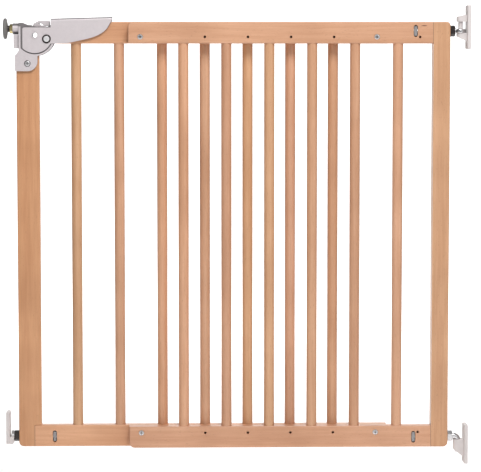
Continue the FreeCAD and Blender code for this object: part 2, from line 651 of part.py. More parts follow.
def bars():
    length = size.post_height - size.rail_height * 2 + size.mortise_depth * 2
    z = size.rail_height - size.mortise_depth
    for prefix, first_x, y, count in (("front_bar", front_bar_x, as_size(0), FRONT_BARS),
                                      ("rear_bar", rear_bar_x, rear_middle, REAR_BARS)):
        for number in range(count):
            bar = doc.addObject("Part::Cylinder", f"{prefix}_{number + 1}")
            bar.Label = f"{prefix}_{number + 1}"
            bar.setExpression("Radius", (size.bar_diameter / 2).text)
            bar.setExpression("Height", length.text)
            for letter, place in zip("xyz", (first_x + size.bar_pitch * number, y, z)):
                bar.setExpression(f".Placement.Base.{letter}", place.text)
            bodies.append(bar)


def right_post():
    body = make_body("right_post", (right_post_left, front_face, 0))
    width = size.right_post_width
    box(body, "board", (0, 0, 0), (width, size.right_post_depth, size.post_height))
    soften(body, "head_corner", size.head_radius,
           lambda edge: runs_along(edge, "y") and near(middle(edge).x, width)
           and near(middle(edge).z, size.post_height))
    soften(body, "foot_corner", size.foot_radius,
           lambda edge: runs_along(edge, "y") and near(middle(edge).x, width) and near(middle(edge).z, 0))
    soften(body, "edges", size.edge_radius,
           lambda edge: runs_along(edge, "z")
           and (near(middle(edge).x, width) or near(middle(edge).y, size.right_post_depth)))
    y = size.rail_thickness / 2
    bore = size.bolt_diameter + size.bolt_clearance * 2
    for number, z in enumerate((lower_bolt_z, upper_bolt_z), start=1):
        rod(body, f"bolt_hole_{number}", bore, width, (0, y, z), "X", cut=True)
    for number, z in enumerate((lower_bolt_z + size.dowel_offset, upper_bolt_z - size.dowel_offset), start=1):
        rod(body, f"dowel_hole_{number}", size.dowel_diameter, size.dowel_length / 2,
            (0, y, z), "X", cut=True)


def corner_dowels():
    body = make_body("corner_dowels", (right_post_left - size.dowel_length / 2, 0, 0))
    for name, z in (("lower", lower_bolt_z + size.dowel_offset), ("upper", upper_bolt_z - size.dowel_offset)):
        rod(body, f"{name}_dowel", size.dowel_diameter, size.dowel_length, (0, 0, z), "X")


def left_post():
    body = make_body("left_post", (left_post_left, rear_face, 0))
    width = size.left_post_width
    height = pivot[2] - size.post_head_drop
    box(body, "board", (0, 0, 0), (width, size.rail_thickness, height))
    soften(body, "foot_corner", size.foot_radius,
           lambda edge: runs_along(edge, "y") and near(middle(edge).x, 0) and near(middle(edge).z, 0))
    box(body, "rail_notch", (width - size.post_notch, 0, 0),
        (width + 1, size.rail_thickness, size.rail_height), cut=True)
    soften(body, "edges", size.edge_radius,
           lambda edge: runs_along(edge, "z") and (near(middle(edge).x, 0) or near(middle(edge).x, width)))
    rod(body, "bolt_hole", size.bolt_diameter + size.bolt_clearance * 2, width,
        (0, size.rail_thickness / 2, lower_bolt_z), "X", cut=True)
    depth = size.tab_screw_length
    for number, start in enumerate((as_size(0), size.rail_thickness - depth), start=1):
        rod(body, f"screw_hole_{number}", size.tab_screw_diameter, depth,
            (size.pivot_setback - size.tab_screw_left, start,
             height + size.post_head_drop - size.tab_screw_drop), "Y", cut=True)


def hinge_bolts():
    """The upper bolt ends in a ring about the upright, the lower one in a bent leg in the socket."""
    nut_x = right_post_left - size.slot_setback
    start = nut_x - size.slot_nut_height
    upper = make_body("upper_eye_bolt", (hinge_x, 0, upper_bolt_z))
    half = size.eye_thickness / 2
    rod(upper, "ring", size.eye_radius * 2, size.eye_thickness, (0, 0, -half))
    soften(upper, "ring_edges", half * 0.6, lambda edge: edge.Curve.TypeId == "Part::GeomCircle")
    rod(upper, "shank", size.bolt_diameter, hinge_x - start - size.eye_neck, (start - hinge_x, 0, 0), "X")
    rod(upper, "ring_bore", size.hinge_post_diameter + size.eye_clearance * 2, size.eye_thickness + 8,
        (0, 0, -half - 4), cut=True)
    lower = make_body("lower_hook_bolt", (hinge_x, 0, lower_bolt_z))
    bend = size.hook_bend_radius
    rod(lower, "shank", size.bolt_diameter, hinge_x - bend - start, (start - hinge_x, 0, 0), "X")
    turn = primitive(lower, "AdditiveTorus", "bend",
                     {"Radius1": bend, "Radius2": size.bolt_diameter / 2, "Angle3": 90}, (-bend, 0, -bend))
    turn.Placement = FreeCAD.Placement(turn.Placement.Base, FreeCAD.Rotation(FreeCAD.Vector(1, 0, 0), 90))
    for letter, place in zip("xyz", (-bend, as_size(0), -bend)):
        turn.setExpression(f".Placement.Base.{letter}", place.text)
    rod(lower, "leg", size.bolt_diameter, size.hook_leg, (0, 0, -bend - size.hook_leg))
    soften(lower, "leg_end", size.bolt_diameter / 8,
           lambda edge: near(middle(edge).z, -bend - size.hook_leg), "Chamfer")
    for label, z in (("upper_lock_nut", upper_bolt_z), ("lower_lock_nut", lower_bolt_z)):
        hex_nut(label, size.hex_flats, size.lock_nut_height, size.bolt_diameter,
                (right_post_right, as_size(0), z))
    square_nuts("front_slot_nuts", nut_x, as_size(0), (lower_bolt_z, upper_bolt_z))


def hex_nut(label, flats, height, bore, at):
    """A hexagon nut along X, bored for its bolt."""
    body = make_body(label, at)
    hex_prism(body, "hexagon", flats, height, (0, 0, 0), "X")
    rod(body, "thread", bore, height, (0, 0, 0), "X", cut=True)
    return body


def square_nuts(label, x, y, heights):
    body = make_body(label, (x, y, 0))
    half = size.slot_nut_width / 2
    thick = size.slot_nut_height / 2
    for number, z in enumerate(heights, start=1):
        box(body, f"nut_{number}", (-thick, -half, z - half), (thick, half, z + half))
        rod(body, f"thread_{number}", size.bolt_diameter, size.slot_nut_height, (-thick, 0, z), "X", cut=True)


def cradle_bolt():
    """The bolt at the lock-side post's foot, whose head is seated in the cradle."""
    nut_x = left_post_right - size.post_notch + size.rear_slot_setback
    body = make_body("cradle_bolt", (left_post_left, rear_middle, lower_bolt_z))
    head_x = -size.lock_nut_height - size.bolt_head_height
    hex_prism(body, "head", size.hex_flats, size.bolt_head_height, (head_x, 0, 0), "X")
    rod(body, "shank", size.bolt_diameter, nut_x + size.slot_nut_height - left_post_left - head_x,
        (head_x, 0, 0), "X")
    hex_nut("cradle_lock_nut", size.hex_flats, size.lock_nut_height, size.bolt_diameter,
            (left_post_left - size.lock_nut_height, rear_middle, lower_bolt_z))
    square_nuts("cradle_slot_nut", nut_x, rear_middle, (lower_bolt_z,))


def frame_screws():
    body = make_body("frame_screws", (front_bar_x, front_face, 0))
    lift = size.counterbore_depth - size.screw_head_height
    number = 0
    for z in (size.rail_height - size.hole_inset, top_rail_z + size.hole_inset):
        for place in SCREW_HOLES:
            number += 1
            x = size.bar_pitch * place
            rod(body, f"head_{number}", size.screw_head_diameter, size.screw_head_height, (x, lift, z), "Y")
            rod(body, f"shank_{number}", size.screw_diameter, size.rail_thickness - lift, (x, lift, z), "Y")


# The latch. Its pieces are drawn about the lever's pivot, in the middle of the rear frame's thickness.
half_rail = size.rail_thickness / 2
plate_face = half_rail + size.sheet
cheek_inside = plate_face + size.cheek_gap
cheek_outside = cheek_inside + size.sheet


def on_circle(radius, height):
    """The X of a circle about the pivot at a height."""
    return root(radius * radius - height * height)


def rivet_places():
    """Places of the bracket's rivets, right of and above the pivot."""
    return [(size.rivet_right + size.rivet_pitch * number, size.rivet_rise) for number in range(RIVETS)]


def arc_slot(body, name, centre, radius, first, last, width, start, end):
    """A round-ended slot along an arc, cut between two levels; first and last are degrees."""
    half = width / 2

    def corner(angle, reach, onward):
        return (centre[0] + cosine(angle) * reach - sine(angle) * onward,
                centre[1] + sine(angle) * reach + cosine(angle) * onward)

    outline_corners = [
        (*corner(first, radius + half, 0), radius + half, 1),
        (*corner(last, radius + half, 0), half, 1),
        (*corner(last, radius, half), half, 1),
        (*corner(last, radius - half, 0), radius - half, -1),
        (*corner(first, radius - half, 0), half, 1),
        (*corner(first, radius, -half), half, 1),
    ]
    slab(body, name, outline_corners, start, end, cut=True)


def latch_bracket(label, side):
    """One pressed half of the bracket; side is -1 for the front half and 1 for the rear half."""
    body = make_body(label, pivot)

    def levels(inner, outer):
        return (-outer, -inner) if side < 0 else (inner, outer)

    right = size.tab_right
    corner = size.tab_corner
    bottom = -size.tab_bottom
    outer = size.bracket_radius
    web_left = -size.pivot_setback - size.web_sheet
    rim_left = -size.rim_left
    left_edge = [
        (rim_left, -size.rim_bottom),
        (web_left, -size.post_wall_drop),
        (web_left, bottom),
        (right - corner, bottom, corner, 1),
        (right, bottom + corner),
        (right, -on_circle(outer, right), outer, 1),
    ]
    plate = left_edge + [
        (on_circle(outer, size.arm_low), -size.arm_low),
        (size.bracket_arm, -size.arm_low),
        (size.bracket_arm, size.arm_high),
        *SADDLE_CURVE,
        (rim_left, SADDLE_CURVE[-1][1]),
    ]
    slab(body, "plate", plate, *levels(half_rail, plate_face))
    rim_end = size.handle_bottom + size.rim_clearance
    strip = rim_left + size.rim_width
    rim = left_edge + [
        (on_circle(outer, rim_end), -rim_end),
        (on_circle(size.pan_radius, rim_end), -rim_end, size.pan_radius, -1),
        (strip, -on_circle(size.pan_radius, strip)),
        (strip, size.rim_top),
        (rim_left, size.rim_top),
    ]
    slab(body, "rim", rim, *levels(plate_face, cheek_outside))
    near_y, far_y = levels(as_size(0), half_rail)
    box(body, "post_wall", (web_left, near_y, bottom), (-size.pivot_setback, far_y, -size.post_wall_drop))
    box(body, "bridge", (-size.bridge_left, near_y, size.bridge_rise),
        (-size.bridge_right, far_y, size.bridge_rise + size.sheet))
    start, end = levels(half_rail, cheek_outside)
    depth = end - start
    screw = (-size.tab_screw_left, start, -size.tab_screw_drop)
    pin = (size.catch_pin_right, start, size.catch_pin_rise)
    rod(body, "tube_hole", size.tube_diameter, depth, (0, start, 0), "Y", cut=True)
    rod(body, "catch_pin_hole", size.catch_pin_diameter, depth, pin, "Y", cut=True)
    rod(body, "screw_hole", size.tab_screw_diameter, depth, screw, "Y", cut=True)
    recess = (screw[0], levels(plate_face, cheek_outside)[0], screw[2])
    rod(body, "screw_recess", size.tab_screw_recess, cheek_outside - plate_face, recess, "Y", cut=True)
    sheet_start = levels(half_rail, plate_face)[0]
    for number, (rivet_x, rivet_z) in enumerate(rivet_places(), start=1):
        rod(body, f"rivet_hole_{number}", size.rivet_diameter, size.sheet,
            (rivet_x, sheet_start, rivet_z), "Y", cut=True)
    arc_slot(body, "crank_slot", (as_size(0), as_size(0)), size.crank_radius,
             size.crank_angle - size.slot_slack, size.crank_angle + size.lever_lift + size.slot_slack,
             size.crank_diameter + size.slot_clearance * 2, start, end)


def latch_lever():
    """The disc-ended lever whose channel-shaped handle covers the top rail."""
    body = make_body("latch_lever", pivot)
    disc = size.lever_disc
    low = -size.handle_bottom
    right = size.handle_length
    left = -size.disc_left
    corner = as_size(3)
    profile = [
        (left, -on_circle(disc, left), disc, 1),
        (on_circle(disc, low), low),
        *HANDLE_CURVE,
        (right - 1, 24, 20, 1),
        (right, 27),
        (right, size.handle_top_right),
        (size.handle_start, size.handle_top_left),
        (size.handle_start, size.disc_top),
        (left + corner, size.disc_top, corner, 1),
        (left, size.disc_top - corner),
    ]
    slab(body, "block", profile, -cheek_outside, cheek_outside)
    soften(body, "top_bends", size.handle_edge_radius,
           lambda edge: edge.Curve.TypeId == "Part::GeomLine" and middle(edge).z > 27 and middle(edge).x > 40
           and abs(edge.Curve.Direction.x) > 0.9)
    thick = size.sheet
    hollow = [
        (-40, -40),
        (right - thick, -40),
        (right - thick, size.handle_top_right - thick),
        (size.handle_start, size.handle_top_left - thick),
        (size.handle_start - 1, 40),
        (-40, 40),
    ]
    slab(body, "channel", hollow, -cheek_inside, cheek_inside, cut=True)
    soften(body, "inner_bends", size.handle_edge_radius - size.sheet,
           lambda edge: edge.Curve.TypeId == "Part::GeomLine" and middle(edge).z > 25 and edge.Length > 80
           and near(abs(middle(edge).y), cheek_inside))
    box(body, "tongue", (size.handle_start, -cheek_inside, size.tongue_bottom),
        (size.handle_start + thick, cheek_inside, size.handle_top_left - thick / 2))
    box(body, "end_opening", (right - thick - 0.5, -cheek_inside + 2.5, -40),
        (right + 1, cheek_inside - 2.5, 24), cut=True)
    rod(body, "tube_hole", size.tube_diameter + size.turning_clearance * 2, cheek_outside * 2,
        (0, -cheek_outside, 0), "Y", cut=True)
    crank = (cosine(size.crank_angle) * size.crank_radius, -cheek_outside,
             sine(size.crank_angle) * size.crank_radius)
    rod(body, "crank_hole", size.crank_diameter, cheek_outside * 2, crank, "Y", cut=True)


def crank_studs():
    """A stud riveted in each cheek of the lever, through the bracket's slot into the slide's slot."""
    centre = (pivot[0] + cosine(size.crank_angle) * size.crank_radius, pivot[1],
              pivot[2] + sine(size.crank_angle) * size.crank_radius)
    studs = make_body("crank_studs", centre)
    washers = make_body("crank_washers", centre)
    head = size.crank_head_height
    head_start = cheek_outside + size.washer_sheet
    inner = size.slide_half_width - size.slide_plate - 0.2
    length = head_start - inner
    for number, side in enumerate((-1, 1), start=1):
        start = inner if side > 0 else -inner - length
        rod(studs, f"stud_{number}", size.crank_diameter, length, (0, start, 0), "Y")
        start = head_start if side > 0 else -head_start - head
        rod(studs, f"head_{number}", size.crank_head, head, (0, start, 0), "Y")
        start = cheek_outside if side > 0 else -head_start
        rod(washers, f"washer_{number}", size.washer_diameter, size.washer_sheet, (0, start, 0), "Y")
    rod(washers, "bore", size.crank_diameter, head_start * 2, (0, -head_start, 0), "Y", cut=True)
    soften(studs, "head_edges", 0.6, lambda edge: near(abs(middle(edge).y), head_start + head))


def pivot_tube():
    body = make_body("pivot_tube", pivot)
    end = cheek_outside + 0.1
    rod(body, "barrel", size.tube_diameter, end * 2, (0, -end, 0), "Y")
    for number, start in enumerate((-end - size.flange_sheet, end), start=1):
        rod(body, f"flange_{number}", size.tube_flange, size.flange_sheet, (0, start, 0), "Y")
    length = (end + size.flange_sheet) * 2
    rod(body, "bore", size.tube_bore, length, (0, -end - size.flange_sheet, 0), "Y", cut=True)


def bracket_fasteners():
    screws = make_body("bracket_screws",
                       (pivot[0] - size.tab_screw_left, pivot[1], pivot[2] - size.tab_screw_drop))
    head = size.tab_screw_head_height
    inner = half_rail - size.tab_screw_length + size.seat_clearance
    for number, side in enumerate((-1, 1), start=1):
        start = inner if side > 0 else -plate_face
        rod(screws, f"shank_{number}", size.tab_screw_diameter, plate_face - inner, (0, start, 0), "Y")
        start = plate_face if side > 0 else -plate_face - head
        rod(screws, f"head_{number}", size.tab_screw_head, head, (0, start, 0), "Y")
    soften(screws, "head_edges", 0.8, lambda edge: near(abs(middle(edge).y), plate_face + head))
    rivets = make_body("bracket_rivets", pivot)
    for number, (right, rise) in enumerate(rivet_places(), start=1):
        rod(rivets, f"rivet_{number}", size.rivet_diameter, plate_face * 2, (right, -plate_face, rise), "Y")


def slide_carriage():
    """The slide between the bracket's plates: an outer block, and two side plates with cam slots."""
    body = make_body("slide_carriage", pivot)
    half = size.slide_half_width
    left = -size.slide_left
    block_right = left + size.slide_block
    box(body, "block", (left, -half, -size.slide_block_bottom), (block_right, half, size.slide_block_top))
    web = size.slide_plate
    box(body, "boss_wall", (block_right - web, -half, -4),
        (block_right, half, size.spindle_rise + size.boss_diameter / 2))
    side = [(block_right - 1, -12), *SLIDE_SIDE_CURVE, (block_right - 1, SLIDE_SIDE_CURVE[-1][1])]
    inner = half - web
    slab(body, "front_side", side, -half, -inner)
    slab(body, "rear_side", side, inner, half)
    rod(body, "spindle_hole", size.spindle_diameter + size.turning_clearance * 2, web,
        (block_right - web, 0, size.spindle_rise), "X", cut=True)
    reach = size.tube_diameter / 2 + 0.4
    slab(body, "tube_slot",
         [(-size.pad_retract, reach, reach, 1), (-size.pad_retract - reach, 0, reach, 1),
          (-size.pad_retract, -reach),
          (0, -reach, reach, 1), (reach, 0, reach, 1), (0, reach)], -half, half, cut=True)
    start, centre, radius, angles = cam_path()
    arc_slot(body, "cam_slot", centre, radius, angles[0], angles[1],
             size.crank_diameter + size.slot_clearance * 2, -half, half)


def cam_path():
    """The arc that a crank stud follows in the slide, as the slide retracts evenly with the lever's turn."""
    points = []
    for share in (0, 0.5, 1):
        angle = size.crank_angle + size.lever_lift * share
        points.append((cosine(angle) * size.crank_radius - size.pad_retract * share,
                       sine(angle) * size.crank_radius))
    (x1, y1), (x2, y2), (x3, y3) = points
    twice = 2 * (x1 * (y2 - y3) + x2 * (y3 - y1) + x3 * (y1 - y2))
    squares = [x * x + y * y for x, y in points]
    cx = (squares[0] * (y2 - y3) + squares[1] * (y3 - y1) + squares[2] * (y1 - y2)) / twice
    cy = (squares[0] * (x3 - x2) + squares[1] * (x1 - x3) + squares[2] * (x2 - x1)) / twice
    radius = root((x1 - cx) * (x1 - cx) + (y1 - cy) * (y1 - cy))
    first = direction(x1 - cx, y1 - cy)
    last = direction(x3 - cx, y3 - cy)
    return points[0], (cx, cy), radius, (first, last)


def direction(x, y):
    value = math.degrees(math.atan2(y.value, x.value))
    return Size(value, f"(atan2({y.text}; {x.text}) / 1 deg)")


def spindle_and_pad():
    rise = pivot[2] + size.spindle_rise
    boss_right = pivot[0] - size.slide_left + size.slide_block - size.slide_plate
    boss_left = boss_right - size.boss_length
    boss = make_body("spindle_boss", (boss_left, rear_middle, rise))
    rod(boss, "barrel", size.boss_diameter, size.boss_length, (0, 0, 0), "X")
    thread = size.spindle_diameter + size.turning_clearance * 2
    rod(boss, "thread", thread, size.boss_length, (0, 0, 0), "X", cut=True)
    nut_left = boss_left - size.spindle_nut_height
    hex_nut("spindle_lock_nut", size.spindle_nut_flats, size.spindle_nut_height, thread,
            (nut_left, rear_middle, rise))
    pad = make_body("wall_pad", (lock_wall_x, rear_middle, rise))
    rod(pad, "disc", size.pad_diameter, size.pad_thickness, (0, 0, 0), "X")
    soften(pad, "rim", size.pad_rim, lambda edge: edge.Curve.TypeId == "Part::GeomCircle")
    seat = size.pad_thickness / 2
    rod(pad, "seat", thread, seat + 1, (size.pad_thickness - seat, 0, 0), "X", cut=True)
    socket = make_body("pad_socket", (lock_wall_x + size.pad_thickness, rear_middle, rise))
    rod(socket, "ring", size.pad_socket_diameter, size.pad_socket_length, (0, 0, 0), "X")
    rod(socket, "bore", thread, size.pad_socket_length, (0, 0, 0), "X", cut=True)
    start = lock_wall_x + size.pad_thickness - seat + size.turning_clearance
    spindle = make_body("spindle", (start, rear_middle, rise))
    length = pivot[0] - size.spindle_tail - start
    rod(spindle, "shank", size.spindle_diameter, length, (0, 0, 0), "X")
    soften(spindle, "ends", 0.8, lambda edge: edge.Curve.TypeId == "Part::GeomCircle", "Chamfer")


def safety_catch():
    """The sprung thumb catch on top of the bracket, in front of the handle's left edge."""
    body = make_body("safety_catch", pivot)
    half = size.catch_half_width
    top = size.catch_top
    right = size.catch_right
    pin_x = size.catch_pin_right
    pin_z = size.catch_pin_rise
    profile = [(pin_x - 4, pin_z - 2), (pin_x, pin_z - 3.2), (pin_x + 4, pin_z - 2),
               (14, size.bridge_rise), (right, size.bridge_rise),
               (right, top), (6.5, top), (-1.5, top - 4.4), (-3, top - 7.6)]
    slab(body, "block", profile, -half, half)
    soften(body, "nose", 1,
           lambda edge: runs_along(edge, "y") and near(middle(edge).x, right) and near(middle(edge).z, top))
    inner = half - size.catch_sheet
    under = top - size.catch_sheet
    hollow = [(-6, 0), (right - size.catch_sheet, 0), (right - size.catch_sheet, under), (6.9, under),
              (-0.6, top - 5.2), (-1.6, top - 7.6), (-6, top - 9)]
    slab(body, "channel", hollow, -inner, inner, cut=True)
    slab(body, "slit", CATCH_SLIT, -half, half, cut=True)
    rod(body, "pin_hole", size.catch_pin_diameter + size.turning_clearance * 2, half * 2,
        (pin_x, -half, pin_z), "Y", cut=True)
    pin = make_body("catch_pin", (pivot[0] + pin_x, pivot[1], pivot[2] + pin_z))
    rod(pin, "shank", size.catch_pin_diameter, plate_face * 2, (0, -plate_face, 0), "Y")


def catch_spring():
    """A leaf spring from the bracket's bridge to the underside of the catch."""
    body = make_body("catch_leaf_spring", pivot)
    thick = size.leaf_sheet
    seat = size.bridge_rise
    tip = size.catch_top - size.catch_sheet
    leaf = [(-13, seat - thick), (-4, seat - thick), (3, 17.6), (14, tip - thick), (20, tip - thick),
            (20, tip), (14, tip), (2.6, 17.6 + thick), (-4.3, seat), (-13, seat)]
    slab(body, "leaf", leaf, -size.leaf_half_width, size.leaf_half_width)


lower_arm_top, upper_arm_bottom = upper_hinge_bracket()
upper_hinge_post(lower_arm_top, upper_arm_bottom)
lower_hinge_bracket()
lock_side_cradle()
front_rails()
rear_rails()
bars()
right_post()
corner_dowels()
left_post()
hinge_bolts()
cradle_bolt()
frame_screws()
latch_bracket("latch_bracket_front", -1)
latch_bracket("latch_bracket_rear", 1)
latch_lever()
crank_studs()
pivot_tube()
bracket_fasteners()
slide_carriage()
spindle_and_pad()
safety_catch()
catch_spring()
doc.recompute()

for item in doc.Objects:
    if {"Invalid", "Error"} & set(item.State):
        raise RuntimeError(f"{item.Name} of {item.Label} failed: {item.State}")
os.makedirs("parts", exist_ok=True)
for item in bodies:
    if item.Shape.isNull() or not item.Shape.isValid():
        raise RuntimeError(f"{item.Label} has no valid shape")
    item.Shape.exportStep(f"parts/{item.Label}.step")
print(f"{len(bodies)} pieces")
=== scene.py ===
import json
import math

import bmesh
import bpy
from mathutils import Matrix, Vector


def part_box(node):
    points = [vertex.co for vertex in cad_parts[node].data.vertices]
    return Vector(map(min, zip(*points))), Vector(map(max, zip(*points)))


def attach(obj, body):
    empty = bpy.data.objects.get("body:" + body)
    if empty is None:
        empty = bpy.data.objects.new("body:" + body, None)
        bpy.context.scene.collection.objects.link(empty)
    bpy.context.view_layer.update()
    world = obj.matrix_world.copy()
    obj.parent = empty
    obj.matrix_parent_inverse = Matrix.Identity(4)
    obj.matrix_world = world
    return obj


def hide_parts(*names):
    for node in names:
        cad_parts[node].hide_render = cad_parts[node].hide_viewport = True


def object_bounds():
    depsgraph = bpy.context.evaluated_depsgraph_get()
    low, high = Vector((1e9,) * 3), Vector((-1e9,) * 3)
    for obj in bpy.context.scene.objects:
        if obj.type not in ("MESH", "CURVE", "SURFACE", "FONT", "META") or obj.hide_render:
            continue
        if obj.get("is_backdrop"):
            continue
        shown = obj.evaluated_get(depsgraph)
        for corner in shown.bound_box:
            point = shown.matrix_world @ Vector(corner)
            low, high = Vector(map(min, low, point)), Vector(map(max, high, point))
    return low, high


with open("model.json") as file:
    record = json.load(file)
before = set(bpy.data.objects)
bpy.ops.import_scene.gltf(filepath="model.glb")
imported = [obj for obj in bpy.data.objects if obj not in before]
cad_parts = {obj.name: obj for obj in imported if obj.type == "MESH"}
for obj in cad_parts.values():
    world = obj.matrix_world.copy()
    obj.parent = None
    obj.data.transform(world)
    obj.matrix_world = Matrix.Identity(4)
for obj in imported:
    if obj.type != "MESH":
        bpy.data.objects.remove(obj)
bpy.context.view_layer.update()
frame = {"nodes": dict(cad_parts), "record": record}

bl_info = {
    "name": "Extending safety gate",
    "version": (1, 0, 0),
    "blender": (4, 5, 0),
    "location": "3D View > Sidebar > Gate",
    "description": "Finishes and small parts of an extending wooden safety gate",
    "category": "Object",
}

NODES = frame["nodes"]
BODY_OF = {node: body for body, nodes in frame["record"]["behaviour"]["bodies"].items() for node in nodes}

RAILS = ("front_top_rail", "front_bottom_rail", "rear_top_rail", "rear_bottom_rail")
POSTS = ("left_post", "right_post")
BARS = tuple(sorted(node for node in NODES if "_bar_" in node))
JOINTS = {"front_top_rail": 1, "front_bottom_rail": 1, "rear_bottom_rail": 0}  # the end that meets a post
TONES = {
    "left_post": (0.96, 0.87, 0.74),
    "right_post": (1.0, 1.0, 0.95),
    "front_top_rail": (1.0, 0.98, 1.0),
    "front_bottom_rail": (0.98, 0.95, 0.97),
    "rear_top_rail": (1.02, 0.95, 0.88),
    "rear_bottom_rail": (1.02, 0.97, 0.92),
}
PLASTIC = ("upper_hinge_bracket", "lower_hinge_bracket", "lock_side_cradle")
SHEET_STEEL = ("latch_bracket_front", "latch_bracket_rear", "latch_lever", "slide_carriage", "safety_catch")


# surfaces
# cut_edges: strength of the painted shade on faces of the sheet that turn away from the front
SATIN = {"roughness": 0.42, "grain": 0.35, "metallic": 0.35, "cut_edges": 0.85}
JOINT_DARK = (0.09, 0.04, 0.02)  # the line where a rail meets its post
# painted shade: a dark reddish spot that stands in for an open hole in the wood
HOLE_SHADE_DARK = (0.10, 0.035, 0.02)
HOLE_SHADE_PLACE = (0.016, 0.82)  # painted shade of an open hole on the front top rail: from its end, and up its height as a share

# small parts, in metres
SEAT_GAP = 0.0001  # room round a rod in a part's bore
BOLT_BORE = 0.005
FRAME_SCREW = {"Radius": 0.0046, "Height": 0.0019, "Shank": 0.002}
FRAME_SCREW_HEAD = 0.0026  # its dome and rim together
BRACKET_SCREW = {"Height": 0.0008, "Shank": 0.00225, "Length": 0.0095}
HEAD_STEPS = 40
PAD_STEPS = 64
PAD_RINGS = 4

# stage: a lamp's name, its place from the gate's middle, width, watts, and what it lights (none: the gate)
LAMPS = (
    ("key", (0.25, -1.4, 2.15), 0.9, 47.0, None),
    ("fill", (1.9, -3.2, 1.4), 1.4, 10.0, None),
    ("backdrop", (0.0, 2.8, 3.6), 3.0, 150.0, (6.5, 0.6)),
    ("floor", (0.0, 1.6, 2.0), 1.4, 60.0, (4.0, 0.0)),
)
SURROUND = 0.17
CAMERA_PLACE = (-0.4740, -3.6290, 0.6434)
CAMERA_TURN = math.radians(1.39)
CAMERA_DIP = math.radians(4.47)


# ---------------------------------------------------------------- sizes and colours a user would change


class TimberSettings(bpy.types.PropertyGroup):
    light: bpy.props.FloatVectorProperty(
        name="Light wood", description="Wood between the grain lines", subtype="COLOR",
        default=(0.72, 0.425, 0.265), min=0, max=1)
    dark: bpy.props.FloatVectorProperty(
        name="Dark wood", description="The grain lines", subtype="COLOR",
        default=(0.53, 0.262, 0.138), min=0, max=1)
    grain: bpy.props.FloatProperty(
        name="Grain width", description="Distance from one grain line to the next", unit="LENGTH",
        default=0.0042)
    lacquer: bpy.props.FloatProperty(
        name="Lacquer", description="Strength of the clear lacquer", subtype="FACTOR",
        default=0.22, min=0, max=1)


class MetalSettings(bpy.types.PropertyGroup):
    satin: bpy.props.FloatVectorProperty(
        name="Satin steel", description="Pressed sheet of the latch", subtype="COLOR",
        default=(0.72, 0.66, 0.675), min=0, max=1)
    bright: bpy.props.FloatVectorProperty(
        name="Bright zinc", description="Screws, studs and nuts", subtype="COLOR",
        default=(0.74, 0.73, 0.74), min=0, max=1)
    dark: bpy.props.FloatVectorProperty(
        name="Dark steel", description="Lock nuts and washers", subtype="COLOR",
        default=(0.035, 0.028, 0.027), min=0, max=1)
    yellow: bpy.props.FloatVectorProperty(
        name="Yellow zinc", description="Lock nut of the spindle", subtype="COLOR",
        default=(0.72, 0.60, 0.30), min=0, max=1)
    edge: bpy.props.FloatProperty(
        name="Edge", description="Softened edge of pressed sheet", unit="LENGTH", default=0.0007)


class PlasticSettings(bpy.types.PropertyGroup):
    colour: bpy.props.FloatVectorProperty(
        name="Plastic", description="Wall fittings", subtype="COLOR",
        default=(0.66, 0.61, 0.60), min=0, max=1)
    rubber: bpy.props.FloatVectorProperty(
        name="Rubber", description="Wall pad", subtype="COLOR", default=(0.19, 0.18, 0.175), min=0, max=1)
    edge: bpy.props.FloatProperty(
        name="Edge", description="Softened edge of moulded plastic", unit="LENGTH", default=0.0007)


class ScrewSettings(bpy.types.PropertyGroup):
    recess: bpy.props.FloatProperty(
        name="Recess", description="Width of the driver's cross across a head", subtype="FACTOR",
        default=0.58, min=0.2, max=0.9)
    crown: bpy.props.FloatProperty(
        name="Crown", description="Height of a head's dome over its rim", unit="LENGTH", default=0.0007)


class ThreadSettings(bpy.types.PropertyGroup):
    lead: bpy.props.FloatProperty(
        name="Lead", description="Advance of the spindle's thread in a turn", unit="LENGTH", default=0.00125)
    depth: bpy.props.FloatProperty(
        name="Depth", description="Depth of a thread", unit="LENGTH", default=0.00065)


class StageSettings(bpy.types.PropertyGroup):
    drop: bpy.props.FloatProperty(
        name="Drop", description="Floor below the lowest fitting", unit="LENGTH", default=0.05)
    floor: bpy.props.FloatVectorProperty(
        name="Floor", description="Floor and backdrop", subtype="COLOR",
        default=(0.93, 0.93, 0.93), min=0, max=1)
    lens: bpy.props.FloatProperty(name="Lens", description="Focal length of the camera in mm", default=161.3)


# ---------------------------------------------------------------- shader expressions


class Shade:
    """A socket of a material's tree, with the operators that add Math nodes."""

    def __init__(self, tree, socket):
        self.tree = tree
        self.socket = socket

    def math(self, operation, *values):
        node = self.tree.nodes.new("ShaderNodeMath")
        node.operation = operation
        for place, value in zip(node.inputs, values):
            plug(self.tree, value, place)
        return Shade(self.tree, node.outputs[0])

    def __add__(self, other):
        return self.math("ADD", self, other)

    __radd__ = __add__

    def __mul__(self, other):
        return self.math("MULTIPLY", self, other)

    __rmul__ = __mul__

    def __sub__(self, other):
        return self.math("SUBTRACT", self, other)

    def __rsub__(self, other):
        return self.math("SUBTRACT", other, self)

    def power(self, other):
        return self.math("POWER", self, other)


def plug(tree, value, place):
    """Link a socket, or set a number or a colour, on an input."""
    if isinstance(value, Shade):
        tree.links.new(value.socket, place)
    elif hasattr(value, "__len__") and len(value) == 3 and len(place.default_value) == 4:
        place.default_value = (*value, 1.0)
    else:
        place.default_value = value


